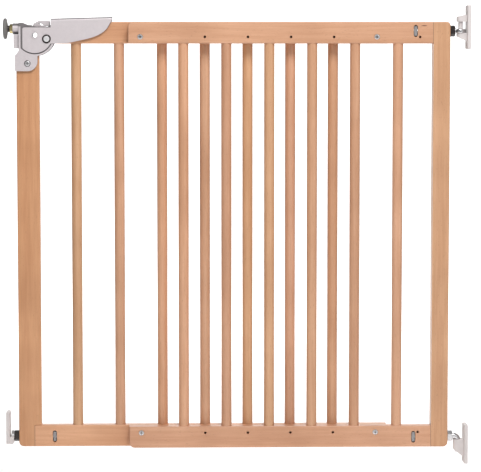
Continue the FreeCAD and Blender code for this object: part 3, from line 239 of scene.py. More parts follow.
class Finish:
    """A material under construction: its tree, its principled shader and the node maker."""

    def __init__(self, name):
        self.material = bpy.data.materials.new(name)
        self.material.use_nodes = True
        self.tree = self.material.node_tree
        self.shader = next(node for node in self.tree.nodes if node.type == "BSDF_PRINCIPLED")

    def node(self, kind, settings=None, stops=None, output=0, **values):
        """Any node: its settings first, then a ramp's stops, then its inputs by name or number."""
        node = self.tree.nodes.new(kind)
        for key, value in (settings or {}).items():
            setattr(node, key, value)
        if stops:
            elements = node.color_ramp.elements
            while len(elements) < len(stops):
                elements.new(0.5)
            for element, (position, colour) in zip(elements, stops):
                element.position = position
                element.color = (*colour, 1.0)
        for key, value in values.items():
            place = node.inputs[int(key[1:])] if key[0] == "_" else node.inputs[key.replace("_", " ")]
            plug(self.tree, value, place)
        return Shade(self.tree, node.outputs[output])

    def place(self, scale, turn=(0, 0, 0)):
        """Object coordinates, stretched and turned."""
        here = self.node("ShaderNodeTexCoord", output=3)
        return self.node("ShaderNodeMapping", Vector=here, Scale=scale, Rotation=turn)

    def noise(self, vector, scale, detail=3.0, roughness=0.5, distortion=0.0):
        return self.node("ShaderNodeTexNoise", Vector=vector, Scale=scale, Detail=detail,
                         Roughness=roughness, Distortion=distortion)

    def mix(self, factor, first, second, blend="MIX"):
        settings = {"data_type": "RGBA", "blend_type": blend}
        return self.node("ShaderNodeMix", settings, output=2, _0=factor, _6=first, _7=second)

    def spread(self, value, low, high, start=0.0, end=1.0):
        """A value moved from one range to another."""
        return self.node("ShaderNodeMapRange", _0=value, _1=low, _2=high, _3=start, _4=end)

    def bump(self, height, strength, distance):
        return self.node("ShaderNodeBump", Height=height, Strength=strength, Distance=distance)

    def set(self, **values):
        for key, value in values.items():
            plug(self.tree, value, self.shader.inputs[key.replace("_", " ")])
        return self.material


def wood(name, along, settings, seed, warmth, joint=None, hole_shade_at=None):
    """Lacquered beech: grain along an axis, short dark flecks, slow colour drift, a joint's dark line, and
    painted shade where an open hole is.
    """
    finish = Finish(name)
    scales = {"x": (0.045, 1, 1), "z": (1, 1, 0.045)}[along]
    grain_place = finish.place(scales)
    shifted = finish.node("ShaderNodeVectorMath", {"operation": "ADD"}, _0=grain_place,
                          _1=(seed, seed * 0.7, seed * 1.3))
    lines = finish.noise(shifted, 1 / settings.grain, detail=5, roughness=0.62, distortion=0.35)
    bands = finish.noise(shifted, 0.22 / settings.grain, detail=2, roughness=0.5, distortion=0.8)
    fine = finish.noise(shifted, 5.5 / settings.grain, detail=2, roughness=0.7)
    fleck_scales = {"x": (0.22, 1, 1), "z": (1, 1, 0.22)}[along]
    flecks = finish.noise(finish.place(fleck_scales), 900, detail=1)
    fleck = finish.spread(flecks, 0.66, 0.74)
    drift = finish.noise(finish.place((1, 1, 1)), 7 + seed % 3, detail=2)
    grain = finish.spread(lines * 0.55 + bands * 0.45, 0.36, 0.64)
    light = tuple(channel * factor for channel, factor in zip(settings.light, warmth))
    dark = tuple(channel * factor for channel, factor in zip(settings.dark, warmth))
    colour = finish.mix(grain * 0.62 + fine * 0.22, light, dark)
    colour = finish.mix(finish.spread(drift, 0.4, 0.66, 0.0, 0.34), colour, tuple(c * 0.78 for c in dark))
    colour = finish.mix(fleck * 0.3, colour, tuple(c * 0.6 for c in dark))
    split = finish.node("ShaderNodeSeparateXYZ", _0=finish.node("ShaderNodeTexCoord", output=3)).socket.node
    right, up = Shade(finish.tree, split.outputs[0]), Shade(finish.tree, split.outputs[2])
    if joint is not None:
        gap = right - joint
        line = 1 - finish.spread(gap.math("ABSOLUTE", gap), 0.0003, 0.0011)
        colour = finish.mix(line * 0.75, colour, JOINT_DARK)
    # painted shade: a dark spot in place of an open hole
    if hole_shade_at is not None:
        across = (right - hole_shade_at[0]) * 0.2
        rise = up - hole_shade_at[1]
        reach = (across * across + rise * rise).power(0.5)
        hole_shade = 1 - finish.spread(reach + (fine - 0.5) * 0.0006, 0.0005, 0.0012)
        colour = finish.mix(hole_shade * 0.8, colour, HOLE_SHADE_DARK)
    sheen = finish.spread(lines, 0.3, 0.7, 0.36, 0.5)
    normal = finish.bump(fine * 0.5 + lines * 0.5, 0.10, 0.0004)
    return finish.set(Base_Color=colour, Roughness=sheen, Normal=normal, Coat_Weight=settings.lacquer,
                      Coat_Roughness=0.28, Specular_IOR_Level=0.4)


def metal(name, colour, roughness, grain, metallic=1.0, spots=0.12, cut_edges=0.0, recess=None):
    """Satin or bright metal with a fine finish, cloudiness, painted shade on the faces and bends that turn
    away from the front, and painted shade in recesses.

    recess, for the painted shade in a recess, is a level on Y, how far each way from it the recess's floor
    lies, and where its rim lies."""
    finish = Finish(name)
    here = finish.place((1, 1, 1))
    cloud = finish.noise(here, 55, detail=4, roughness=0.6)
    fine = finish.noise(here, 2600, detail=2, roughness=0.6)
    rubbed = finish.spread(finish.noise(here, 160, detail=3), 0.52, 0.7)
    tone = finish.mix(finish.spread(cloud, 0.35, 0.65) * spots * 2, colour, tuple(c * 0.8 for c in colour))
    tone = finish.mix(rubbed * spots, tone, tuple(min(1, c * 1.25) for c in colour))
    shadow = tuple(c * 0.22 for c in colour)
    # painted shade: faces whose normal turns away from ±Y are darkened towards the shadow colour, as far as
    # cut_edges says
    if cut_edges:
        facing = finish.node("ShaderNodeTexCoord", output=1)
        across = finish.node("ShaderNodeSeparateXYZ", output=1, _0=facing)
        level = across.math("ABSOLUTE", across)
        tone = finish.mix(finish.spread(level, 0.8, 0.995, cut_edges, 0.0), tone, shadow)
    # painted shade: surfaces that lie deeper than the rim, towards the recess's floor, are darkened towards
    # the shadow colour
    if recess is not None:
        middle, floor, rim = recess
        spot = finish.node("ShaderNodeTexCoord", output=3)
        depth = finish.node("ShaderNodeSeparateXYZ", output=1, _0=spot) - middle
        depth = depth.math("ABSOLUTE", depth)
        tone = finish.mix(finish.spread(depth, floor, rim, 0.85, 0.0), tone, shadow)
    rough = finish.spread(cloud, 0.3, 0.7, roughness - 0.05, roughness + 0.07)
    normal = finish.bump(fine, grain, 0.00012)
    return finish.set(Base_Color=tone, Roughness=rough, Metallic=metallic, Normal=normal)


def moulded(name, colour, roughness, texture, spread=0.06):
    """Moulded plastic or rubber: a fine spark-eroded texture and faint flow marks."""
    finish = Finish(name)
    here = finish.place((1, 1, 1))
    pits = finish.noise(here, 1500, detail=2, roughness=0.55)
    flow = finish.noise(finish.place((1, 1, 0.35)), 60, detail=3, distortion=0.6)
    faint = tuple(c * (1 - spread * 2) for c in colour)
    tone = finish.mix(finish.spread(flow, 0.35, 0.65) * spread * 3, colour, faint)
    rough = finish.spread(flow, 0.3, 0.7, roughness - 0.05, roughness + 0.06)
    normal = finish.bump(pits, texture, 0.0002)
    return finish.set(Base_Color=tone, Roughness=rough, Normal=normal, Specular_IOR_Level=0.42)


def finish_named(name, maker, *values, **more):
    """A finish that several pieces share, made once."""
    full_name = f"gate_{name}"
    return bpy.data.materials.get(full_name) or maker(full_name, *values, **more)


def satin_steel(settings):
    return finish_named("satin_steel", metal, tuple(settings.satin), **SATIN)


def bracket_steel(settings):
    """Satin steel with painted shade in the sunk panel, between the rim's face and the sheet's face."""
    middle = centre_of("spindle").y
    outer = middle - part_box("latch_bracket_front")[0][1]
    sheet = (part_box("bracket_rivets")[1][1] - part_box("bracket_rivets")[0][1]) / 2
    return finish_named("bracket_steel", metal, tuple(settings.satin), **SATIN,
                        recess=(middle, sheet + 0.0001, outer - 0.0004))


def screw_zinc(settings, node):
    """Bright zinc with painted shade in the driver's cross below the head's face."""
    low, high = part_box(node)
    middle = (low[1] + high[1]) / 2
    half = (high[1] - low[1]) / 2
    return finish_named(f"{node}_zinc", metal, tuple(settings.bright), 0.28, 0.2, metallic=0.7,
                        recess=(middle, half - 0.0019, half - 0.0011))


def bright_zinc(settings):
    return finish_named("bright_zinc", metal, tuple(settings.bright), 0.26, 0.2)


def dark_steel(settings):
    return finish_named("dark_steel", metal, tuple(settings.dark), 0.34, 0.3, metallic=0.4)


def yellow_zinc(settings):
    return finish_named("yellow_zinc", metal, tuple(settings.yellow), 0.28, 0.2)


# ---------------------------------------------------------------- mesh helpers


def paint(node, material):
    """Give a CAD node its material."""
    slots = NODES[node].material_slots
    for place in slots:
        place.material = material
    if not slots:
        NODES[node].data.materials.append(material)


def new_piece(name, mesh, body, material, slot, *stands_for):
    """Link a finished mesh as a piece of a body, in place of the CAD nodes it stands for."""
    mesh.name = name
    mesh.materials.clear()
    mesh.materials.append(material)
    piece = bpy.data.objects.new(name, mesh)
    bpy.context.collection.objects.link(piece)
    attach(piece, body)
    if stands_for:
        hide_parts(*stands_for)
    return piece


def baked(host):
    """The mesh of an object with its modifiers applied; the object is removed."""
    bpy.context.view_layer.update()
    graph = bpy.context.evaluated_depsgraph_get()
    shown = host.evaluated_get(graph)
    mesh = bpy.data.meshes.new_from_object(shown, preserve_all_data_layers=True, depsgraph=graph)
    if not mesh.polygons:
        raise RuntimeError(f"{host.name} came out empty")
    bpy.data.objects.remove(host)
    return mesh


def soft_edged(node, width, segments=3):
    """A merged copy of a CAD node's mesh with its sharp edges rounded over."""
    shape = bmesh.new()
    shape.from_mesh(NODES[node].data)
    bmesh.ops.remove_doubles(shape, verts=shape.verts, dist=0.00001)
    bmesh.ops.dissolve_limit(shape, angle_limit=math.radians(0.6), verts=shape.verts, edges=shape.edges)
    mesh = bpy.data.meshes.new(node)
    shape.to_mesh(mesh)
    shape.free()
    host = bpy.data.objects.new("softened", mesh)
    bpy.context.collection.objects.link(host)
    bevel = host.modifiers.new("edges", "BEVEL")
    bevel.width = width
    bevel.segments = segments
    bevel.limit_method = "ANGLE"
    bevel.angle_limit = math.radians(38)
    bevel.use_clamp_overlap = True
    weigh_normals(host, mesh)
    return baked(host)


def weigh_normals(host, mesh):
    """Smooth shading in which the large flat faces keep their own normals."""
    for face in mesh.polygons:
        face.use_smooth = True
    weights = host.modifiers.new("normals", "WEIGHTED_NORMAL")
    weights.mode = "FACE_AREA"
    weights.weight = 90
    weights.keep_sharp = True


def smoothed(node):
    """A merged copy of a CAD node's mesh, smooth over its bends and sharp at its edges."""
    shape = bmesh.new()
    shape.from_mesh(NODES[node].data)
    bmesh.ops.remove_doubles(shape, verts=shape.verts, dist=0.00001)
    mesh = bpy.data.meshes.new(node)
    shape.to_mesh(mesh)
    shape.free()
    mesh.set_sharp_from_angle(angle=math.radians(28))
    host = bpy.data.objects.new("smoothed", mesh)
    bpy.context.collection.objects.link(host)
    weigh_normals(host, mesh)
    return baked(host)


def centre_of(node):
    low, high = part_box(node)
    return (Vector(low) + Vector(high)) / 2


def size_of(node):
    low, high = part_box(node)
    return Vector(high) - Vector(low)


def revolve(profile, steps, centre):
    """A closed solid of revolution along X from a centre; profile is (distance along, radius)."""
    shape = bmesh.new()
    forward, side, up = Vector((1, 0, 0)), Vector((0, 1, 0)), Vector((0, 0, 1))
    rings = []
    for along, radius in profile:
        ring = []
        for step in range(steps):
            angle = math.tau * step / steps
            spoke = side * math.cos(angle) + up * math.sin(angle)
            ring.append(shape.verts.new(Vector(centre) + forward * along + spoke * radius))
        rings.append(ring)
    for first, second in zip(rings, rings[1:]):
        for step in range(steps):
            after = (step + 1) % steps
            shape.faces.new((first[step], first[after], second[after], second[step]))
    shape.faces.new(reversed(rings[0]))
    shape.faces.new(rings[-1])
    bmesh.ops.recalc_face_normals(shape, faces=shape.faces)
    mesh = bpy.data.meshes.new("revolved")
    shape.to_mesh(mesh)
    shape.free()
    for face in mesh.polygons:
        face.use_smooth = True
    mesh.set_sharp_from_angle(angle=math.radians(35))
    return mesh


# ---------------------------------------------------------------- geometry nodes


class Growth:
    """A geometry nodes tree under construction, with named inputs."""

    def __init__(self, name, **inputs):
        self.tree = bpy.data.node_groups.new(name, "GeometryNodeTree")
        self.tree.is_modifier = True
        face = self.tree.interface
        face.new_socket("Geometry", in_out="INPUT", socket_type="NodeSocketGeometry")
        for label, kind in inputs.items():
            face.new_socket(label, in_out="INPUT", socket_type=f"NodeSocket{kind}")
        face.new_socket("Geometry", in_out="OUTPUT", socket_type="NodeSocketGeometry")
        self.entry = self.tree.nodes.new("NodeGroupInput")
        self.exit = self.tree.nodes.new("NodeGroupOutput")

    def get(self, label):
        return self.entry.outputs[label]

    def node(self, kind, settings=None, output=0, **values):
        node = self.tree.nodes.new(kind)
        for key, value in (settings or {}).items():
            setattr(node, key, value)
        for key, value in values.items():
            place = node.inputs[int(key[1:])] if key[0] == "_" else node.inputs[key.replace("_", " ")]
            if isinstance(value, bpy.types.NodeSocket):
                self.tree.links.new(value, place)
            else:
                place.default_value = value
        return node.outputs[output]

    def maths(self, operation, first, second):
        return self.node("ShaderNodeMath", {"operation": operation}, _0=first, _1=second)

    def times(self, first, second):
        return self.maths("MULTIPLY", first, second)

    def vector(self, **parts):
        return self.node("ShaderNodeCombineXYZ", **parts)

    def end(self, geometry):
        """Realize the instances, give them the material input and link the output."""
        real = self.node("GeometryNodeRealizeInstances", Geometry=geometry)
        set_to = self.node("GeometryNodeSetMaterial", Geometry=real, Material=self.get("Material"))
        self.tree.links.new(set_to, self.exit.inputs[0])

    def apply(self, mesh, **values):
        """The tree's result on a mesh, with its inputs set by their identifiers."""
        host = bpy.data.objects.new("grown", mesh)
        bpy.context.collection.objects.link(host)
        modifier = host.modifiers.new("grow", "NODES")
        modifier.node_group = self.tree
        ids = {item.name: item.identifier for item in self.tree.interface.items_tree
               if item.item_type == "SOCKET" and item.in_out == "INPUT"}
        for label, value in values.items():
            modifier[ids[label]] = value
        return baked(host)


def points_mesh(points, normals):
    """Loose points that carry the direction in which a head faces."""
    mesh = bpy.data.meshes.new("places")
    mesh.from_pydata([tuple(point) for point in points], [], [])
    facing = mesh.attributes.new("facing", "FLOAT_VECTOR", "POINT")
    for number, normal in enumerate(normals):
        facing.data[number].vector = normal
    return mesh


def screw_tree():
    """Domed heads with a cross recess on short shanks, one at each point, facing along its direction."""
    grow = Growth("cross_head_screws", Radius="Float", Crown="Float", Height="Float", Shank="Float",
                  Length="Float", Recess="Float", Material="Material")
    radius, crown = grow.get("Radius"), grow.get("Crown")
    ball = grow.node("GeometryNodeMeshUVSphere", _0=HEAD_STEPS, _1=16, _2=radius)
    flat = grow.node("GeometryNodeTransform", Geometry=ball,
                     Scale=grow.vector(X=1.0, Y=1.0, Z=grow.maths("DIVIDE", crown, radius)))
    base = grow.node("GeometryNodeMeshCylinder", output=0, _0=HEAD_STEPS, _3=radius, _4=grow.get("Height"))
    half_height = grow.times(grow.get("Height"), -0.5)
    base = grow.node("GeometryNodeTransform", Geometry=base, Translation=grow.vector(Z=half_height))
    head = grow.node("GeometryNodeMeshBoolean", {"operation": "UNION", "solver": "EXACT"}, _1=flat)
    grow.tree.links.new(base, head.node.inputs[1])
    arm_length = grow.times(grow.times(radius, 2.0), grow.get("Recess"))
    arm_width = grow.times(arm_length, 0.28)
    depth = grow.times(crown, 4.4)
    arm = grow.node("GeometryNodeMeshCube", Size=grow.vector(X=arm_length, Y=arm_width, Z=depth))
    cross = grow.node("GeometryNodeMeshCube", Size=grow.vector(X=arm_width, Y=arm_length, Z=depth))
    cut = grow.node("GeometryNodeMeshBoolean", {"operation": "DIFFERENCE", "solver": "EXACT"}, _0=head)
    grow.tree.links.new(arm, cut.node.inputs[1])
    second = grow.node("GeometryNodeMeshBoolean", {"operation": "DIFFERENCE", "solver": "EXACT"}, _0=cut)
    grow.tree.links.new(cross, second.node.inputs[1])
    shank = grow.node("GeometryNodeMeshCylinder", output=0, _0=24, _3=grow.get("Shank"),
                      _4=grow.get("Length"))
    sunk = grow.times(grow.get("Length"), -0.5)
    shank = grow.node("GeometryNodeTransform", Geometry=shank,
                      Translation=grow.vector(Z=grow.maths("SUBTRACT", sunk, grow.get("Height"))))
    joined = grow.node("GeometryNodeJoinGeometry", Geometry=second)
    grow.tree.links.new(shank, joined.node.inputs[0])
    facing = grow.node("GeometryNodeInputNamedAttribute", {"data_type": "FLOAT_VECTOR"}, Name="facing")
    turn = grow.node("FunctionNodeAlignRotationToVector", {"axis": "Z"}, Vector=facing)
    placed = grow.node("GeometryNodeInstanceOnPoints", Points=grow.get("Geometry"), Instance=joined,
                       Rotation=turn)
    grow.end(placed)
    return grow


def pad_rings_tree():
    """Raised moulded rings round the X axis, each a torus of its own radius, on a row of points."""
    grow = Growth("moulded_rings", Smallest="Float", Step="Float", Thickness="Float", Material="Material")
    number = grow.node("GeometryNodeInputIndex")
    radius = grow.node("ShaderNodeMath", {"operation": "MULTIPLY_ADD"}, _0=number, _1=grow.get("Step"),
                       _2=grow.get("Smallest"))
    circle = grow.node("GeometryNodeCurvePrimitiveCircle", Resolution=64, Radius=1.0)
    turned = grow.node("FunctionNodeAlignRotationToVector", {"axis": "Z"}, Vector=(1.0, 0.0, 0.0))
    rings = grow.node("GeometryNodeInstanceOnPoints", Points=grow.get("Geometry"), Instance=circle,
                      Rotation=turned, Scale=grow.vector(X=radius, Y=radius, Z=radius))
    real = grow.node("GeometryNodeRealizeInstances", Geometry=rings)
    section = grow.node("GeometryNodeCurvePrimitiveCircle", Resolution=10, Radius=grow.get("Thickness"))
    tube = grow.node("GeometryNodeCurveToMesh", Curve=real, Profile_Curve=section)
    grow.end(tube)
    return grow


def thread_tree():
    """A V thread along X: a bar's grid of points moved in and out by their angle and their place."""
    grow = Growth("v_thread", Radius="Float", Length="Float", Lead="Float", Depth="Float",
                  Material="Material")
    line = grow.node("GeometryNodeCurvePrimitiveLine", End=grow.vector(X=grow.get("Length")))
    rows = grow.maths("DIVIDE", grow.get("Length"), grow.times(grow.get("Lead"), 0.125))
    fine = grow.node("GeometryNodeResampleCurve", Curve=line, Count=rows)
    circle = grow.node("GeometryNodeCurvePrimitiveCircle", Resolution=28, Radius=grow.get("Radius"))
    bar = grow.node("GeometryNodeCurveToMesh", Curve=fine, Profile_Curve=circle, Fill_Caps=True)
    here = grow.node("GeometryNodeInputPosition")
    split = grow.node("ShaderNodeSeparateXYZ", Vector=here).node
    x, y, z = split.outputs
    angle = grow.maths("ARCTAN2", z, y)
    turns = grow.maths("DIVIDE", x, grow.get("Lead"))
    phase = grow.node("ShaderNodeMath", {"operation": "MULTIPLY_ADD"}, _0=angle, _1=1 / math.tau, _2=turns)
    wave = grow.maths("PINGPONG", phase, 0.5)
    inward = grow.times(grow.times(wave, 2.0), grow.get("Depth"))
    share = grow.maths("DIVIDE", inward, grow.get("Radius"))
    keep = grow.maths("SUBTRACT", 1.0, share)
    moved = grow.node("ShaderNodeVectorMath", {"operation": "MULTIPLY"}, _0=here,
                      _1=grow.vector(X=1.0, Y=keep, Z=keep))
    grow.end(grow.node("GeometryNodeSetPosition", Geometry=bar, Position=moved))
    return grow


# ---------------------------------------------------------------- operators, one for each group of pieces


class GATE_OT_timber(bpy.types.Operator):
    """Lacquered beech on posts, rails, bars and dowels, with the grain along each piece"""

    bl_idname = "gate.timber"
    bl_label = "Timber"

    def execute(self, context):
        settings = context.scene.gate_timber
        for number, node in enumerate(RAILS + POSTS + BARS + ("corner_dowels",)):
            along = "x" if node in RAILS or node == "corner_dowels" else "z"
            shade = 1 + 0.05 * math.sin(number * 2.4)
            drift = (1, 1 + 0.03 * math.sin(number * 1.7), 1 + 0.06 * math.sin(number * 3.1))
            red, green, blue = TONES.get(node, drift)
            warmth = (shade * red, shade * green, shade * blue)
            joint = JOINTS.get(node)
            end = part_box(node)[joint][0] if joint is not None else None
            hole_shade_at = None
            # the painted shade of an open hole sits on this rail
            if node == "front_top_rail":
                low, high = (Vector(corner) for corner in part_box(node))
                from_end, height_share = HOLE_SHADE_PLACE
                hole_shade_at = (high.x - from_end, low.z + (high.z - low.z) * height_share)
            paint(node, wood(f"beech_{node}", along, settings, 1.37 * number, warmth, end, hole_shade_at))
        return {"FINISHED"}


class GATE_OT_sheet_steel(bpy.types.Operator):
    """The latch's pressed sheet pieces with softened edges, and its turned pieces"""

    bl_idname = "gate.sheet_steel"
    bl_label = "Sheet steel"

    def execute(self, context):
        settings = context.scene.gate_metal
        steel = satin_steel(settings)
        for node in SHEET_STEEL:
            mesh = smoothed(node) if node == "latch_lever" else soft_edged(node, settings.edge)
            skin = bracket_steel(settings) if "bracket" in node else steel
            new_piece(f"{node}_pressed", mesh, BODY_OF[node], skin, "satin_steel", node)
        for node in ("spindle_boss", "pivot_tube"):
            paint(node, steel)
        for node in ("upper_eye_bolt", "lower_hook_bolt", "cradle_bolt", "bracket_rivets",
                     "catch_pin", "catch_leaf_spring"):
            paint(node, bright_zinc(settings))
        nut_colour = tuple(channel * 0.5 for channel in settings.bright)
        for node in ("front_slot_nuts", "cradle_slot_nut"):
            paint(node, finish_named("dull_zinc", metal, nut_colour, 0.45, 0.3, metallic=0.7, spots=0.3))
        polished = (0.88, 0.87, 0.88)
        paint("crank_studs", finish_named("polished_zinc", metal, polished, 0.2, 0.1, metallic=0.35))
        for node in ("pad_socket", "crank_washers"):
            paint(node, dark_steel(settings))
        return {"FINISHED"}


class GATE_OT_plastic(bpy.types.Operator):
    """Moulded wall fittings with softened edges, and the upright of the upper hinge"""

    bl_idname = "gate.plastic"
    bl_label = "Wall fittings"

    def execute(self, context):
        settings = context.scene.gate_plastic
        plastic = finish_named("pale_plastic", moulded, tuple(settings.colour), 0.46, 0.25)
        for node in PLASTIC:
            mesh = soft_edged(node, settings.edge)
            new_piece(f"{node}_moulded", mesh, BODY_OF[node], plastic, "white_plastic", node)
        paint("upper_hinge_post", plastic)
        return {"FINISHED"}


class GATE_OT_wall_pad(bpy.types.Operator):
    """Rubber pad: a domed back, a rolled rim and moulded rings on the face that meets the wall"""

    bl_idname = "gate.wall_pad"
    bl_label = "Wall pad"

    def execute(self, context):
        settings = context.scene.gate_plastic
        rubber = finish_named("pad_rubber", moulded, tuple(settings.rubber), 0.6, 0.5, spread=0.12)
        low, high = (Vector(corner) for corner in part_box("wall_pad"))
        radius = (high.z - low.z) / 2
        thick = high.x - low.x
        spot = Vector((low.x, centre_of("wall_pad").y, centre_of("wall_pad").z))
        seat = size_of("spindle").y / 2 + SEAT_GAP
        rim = thick * 0.42
        roll = rim * 1.1
        pole = 0.0002  # the caps on the axis stay this small
        profile = [(0.0005, pole), (0.0005, radius * 0.72), (0.0, radius * 0.76)]
        for step in range(11):
            angle = math.pi * step / 10
            profile.append((rim - rim * math.cos(angle), radius - roll + roll * math.sin(angle)))
        profile += [(rim * 2, radius * 0.74), (thick - 0.0003, radius * 0.6), (thick, radius * 0.5),
                    (thick, seat), (thick * 0.55, seat), (thick * 0.55, pole)]
        pad = revolve(profile, PAD_STEPS, spot)
        new_piece("wall_pad_rubber", pad, "pad", rubber, "rubber", "wall_pad")
        face = spot + Vector((0.0006, 0, 0))
        places = points_mesh([face] * PAD_RINGS, [(1, 0, 0)] * PAD_RINGS)
        rings = pad_rings_tree().apply(places, Smallest=radius * 0.2, Step=radius * 0.17, Thickness=0.0004,
                                       Material=rubber)
        new_piece("wall_pad_rings", rings, "pad", rubber, "rubber")
        return {"FINISHED"}


class GATE_OT_screws(bpy.types.Operator):
    """Cross-recessed heads of the frame screws and of the bracket's screws"""

    bl_idname = "gate.screws"
    bl_label = "Screws"

    def execute(self, context):
        settings = context.scene.gate_screws
        zinc = screw_zinc(context.scene.gate_metal, "frame_screws")
        tree = screw_tree()
        low, high = (Vector(corner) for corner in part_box("frame_screws"))
        radius = FRAME_SCREW["Radius"]
        points = [(x, low.y + settings.crown, z) for x in (low.x + radius, high.x - radius)
                  for z in (low.z + radius, high.z - radius)]
        mesh = tree.apply(points_mesh(points, [(0, -1, 0)] * 4), **FRAME_SCREW, Crown=settings.crown,
                          Length=high.y - low.y - FRAME_SCREW_HEAD, Recess=settings.recess, Material=zinc)
        new_piece("frame_screw_heads", mesh, "right_frame", zinc, "zinc_steel", "frame_screws")
        zinc = screw_zinc(context.scene.gate_metal, "bracket_screws")
        low, high = (Vector(corner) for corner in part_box("bracket_screws"))
        middle = (low + high) / 2
        radius = (high.x - low.x) / 2
        points = [(middle.x, low.y + settings.crown, middle.z), (middle.x, high.y - settings.crown, middle.z)]
        mesh = tree.apply(points_mesh(points, [(0, -1, 0), (0, 1, 0)]), **BRACKET_SCREW, Radius=radius,
                          Crown=settings.crown, Recess=settings.recess, Material=zinc)
        new_piece("bracket_screw_heads", mesh, "left_frame", zinc, "zinc_steel", "bracket_screws")
        return {"FINISHED"}


class GATE_OT_nuts(bpy.types.Operator):
    """Lock nuts with chamfered corners on both ends"""

    bl_idname = "gate.nuts"
    bl_label = "Lock nuts"

    def execute(self, context):
        settings = context.scene.gate_metal
        for node, material, slot, bolt in (
                ("upper_lock_nut", dark_steel(settings), "dark_steel", "upper_eye_bolt"),
                ("lower_lock_nut", bright_zinc(settings), "zinc_steel", "lower_hook_bolt"),
                ("cradle_lock_nut", dark_steel(settings), "dark_steel", "cradle_bolt"),
                ("spindle_lock_nut", yellow_zinc(settings), "yellow_zinc", "spindle")):
            bore = BOLT_BORE if bolt != "spindle" else size_of("spindle").y / 2 + SEAT_GAP
            mesh = chamfered_nut(node, bore)
            new_piece(f"{node}_turned", mesh, BODY_OF[node], material, slot, node)
        return {"FINISHED"}


def chamfered_nut(node, bore, steps=60, dish=0.0004, seat=0.72, face=0.97, bevel=0.62):
    """A hexagon nut along X whose corners are cut back by a cone at both ends.

    dish is how deep the bore starts; seat and face are radii as shares of the flats' distance; bevel is the
    cone's length as a share of how far the corners stand out."""
    low, high = (Vector(corner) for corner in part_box(node))
    middle = (low + high) / 2
    corner = (high.z - low.z) / 2
    flat = corner * math.sqrt(3) / 2
    cut = (corner - flat) * bevel
    rim = flat * face
    shape = bmesh.new()

    def ring(along, limit=None):
        """Corners of a ring: the bore's circle, or the hexagon held within a limit."""
        made = []
        for step in range(steps):
            angle = math.tau * step / steps
            offset = (angle - math.pi / 2 + math.pi / 6) % (math.pi / 3) - math.pi / 6
            reach = bore if limit is None else min(flat / math.cos(math.pi / 6 - abs(offset)), limit)
            made.append(shape.verts.new((along, middle.y + math.cos(angle) * reach,
                                         middle.z + math.sin(angle) * reach)))
        return made

    rings = [ring(low.x + dish), ring(low.x, flat * seat), ring(low.x, rim)]
    rings += [ring(low.x + cut * share, rim + (corner - rim) * share) for share in (0.5, 1.0)]
    rings += [ring(high.x - cut * share, rim + (corner - rim) * share) for share in (1.0, 0.5)]
    rings += [ring(high.x, rim), ring(high.x, flat * seat), ring(high.x - dish)]
    rings.append(rings[0])
    for first, second in zip(rings, rings[1:]):
        for step in range(steps):
            after = (step + 1) % steps
            shape.faces.new((first[step], first[after], second[after], second[step]))
    bmesh.ops.recalc_face_normals(shape, faces=shape.faces)
    mesh = bpy.data.meshes.new(node)
    shape.to_mesh(mesh)
    shape.free()
    for face in mesh.polygons:
        face.use_smooth = True
    mesh.set_sharp_from_angle(angle=math.radians(24))
    return mesh


class GATE_OT_spindle(bpy.types.Operator):
    """The pad's threaded spindle"""

    bl_idname = "gate.spindle"
    bl_label = "Spindle"

    def execute(self, context):
        settings = context.scene.gate_thread
        steel = dark_steel(context.scene.gate_metal)
        low, high = (Vector(corner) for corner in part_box("spindle"))
        host = points_mesh([(0, 0, 0)], [(1, 0, 0)])
        mesh = thread_tree().apply(host, Radius=(high.z - low.z) / 2, Length=high.x - low.x,
                                   Lead=settings.lead, Depth=settings.depth, Material=steel)
        middle = (low + high) / 2
        for point in mesh.vertices:
            point.co += Vector((low.x, middle.y, middle.z))
        new_piece("spindle_thread", mesh, "spindle", steel, "dark_steel", "spindle")
        return {"FINISHED"}


class GATE_OT_stage(bpy.types.Operator):
    """Pale floor that sweeps up into a backdrop, soft lights and the camera"""

    bl_idname = "gate.stage"
    bl_label = "Stage"

    def execute(self, context):
        settings = context.scene.gate_stage
        low, high = (Vector(corner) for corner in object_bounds())
        floor_z = low.z - settings.drop
        build_sweep(context, floor_z, tuple(settings.floor))
        build_lights(context, (low + high) / 2)
        build_camera(context, settings.lens)
        return {"FINISHED"}


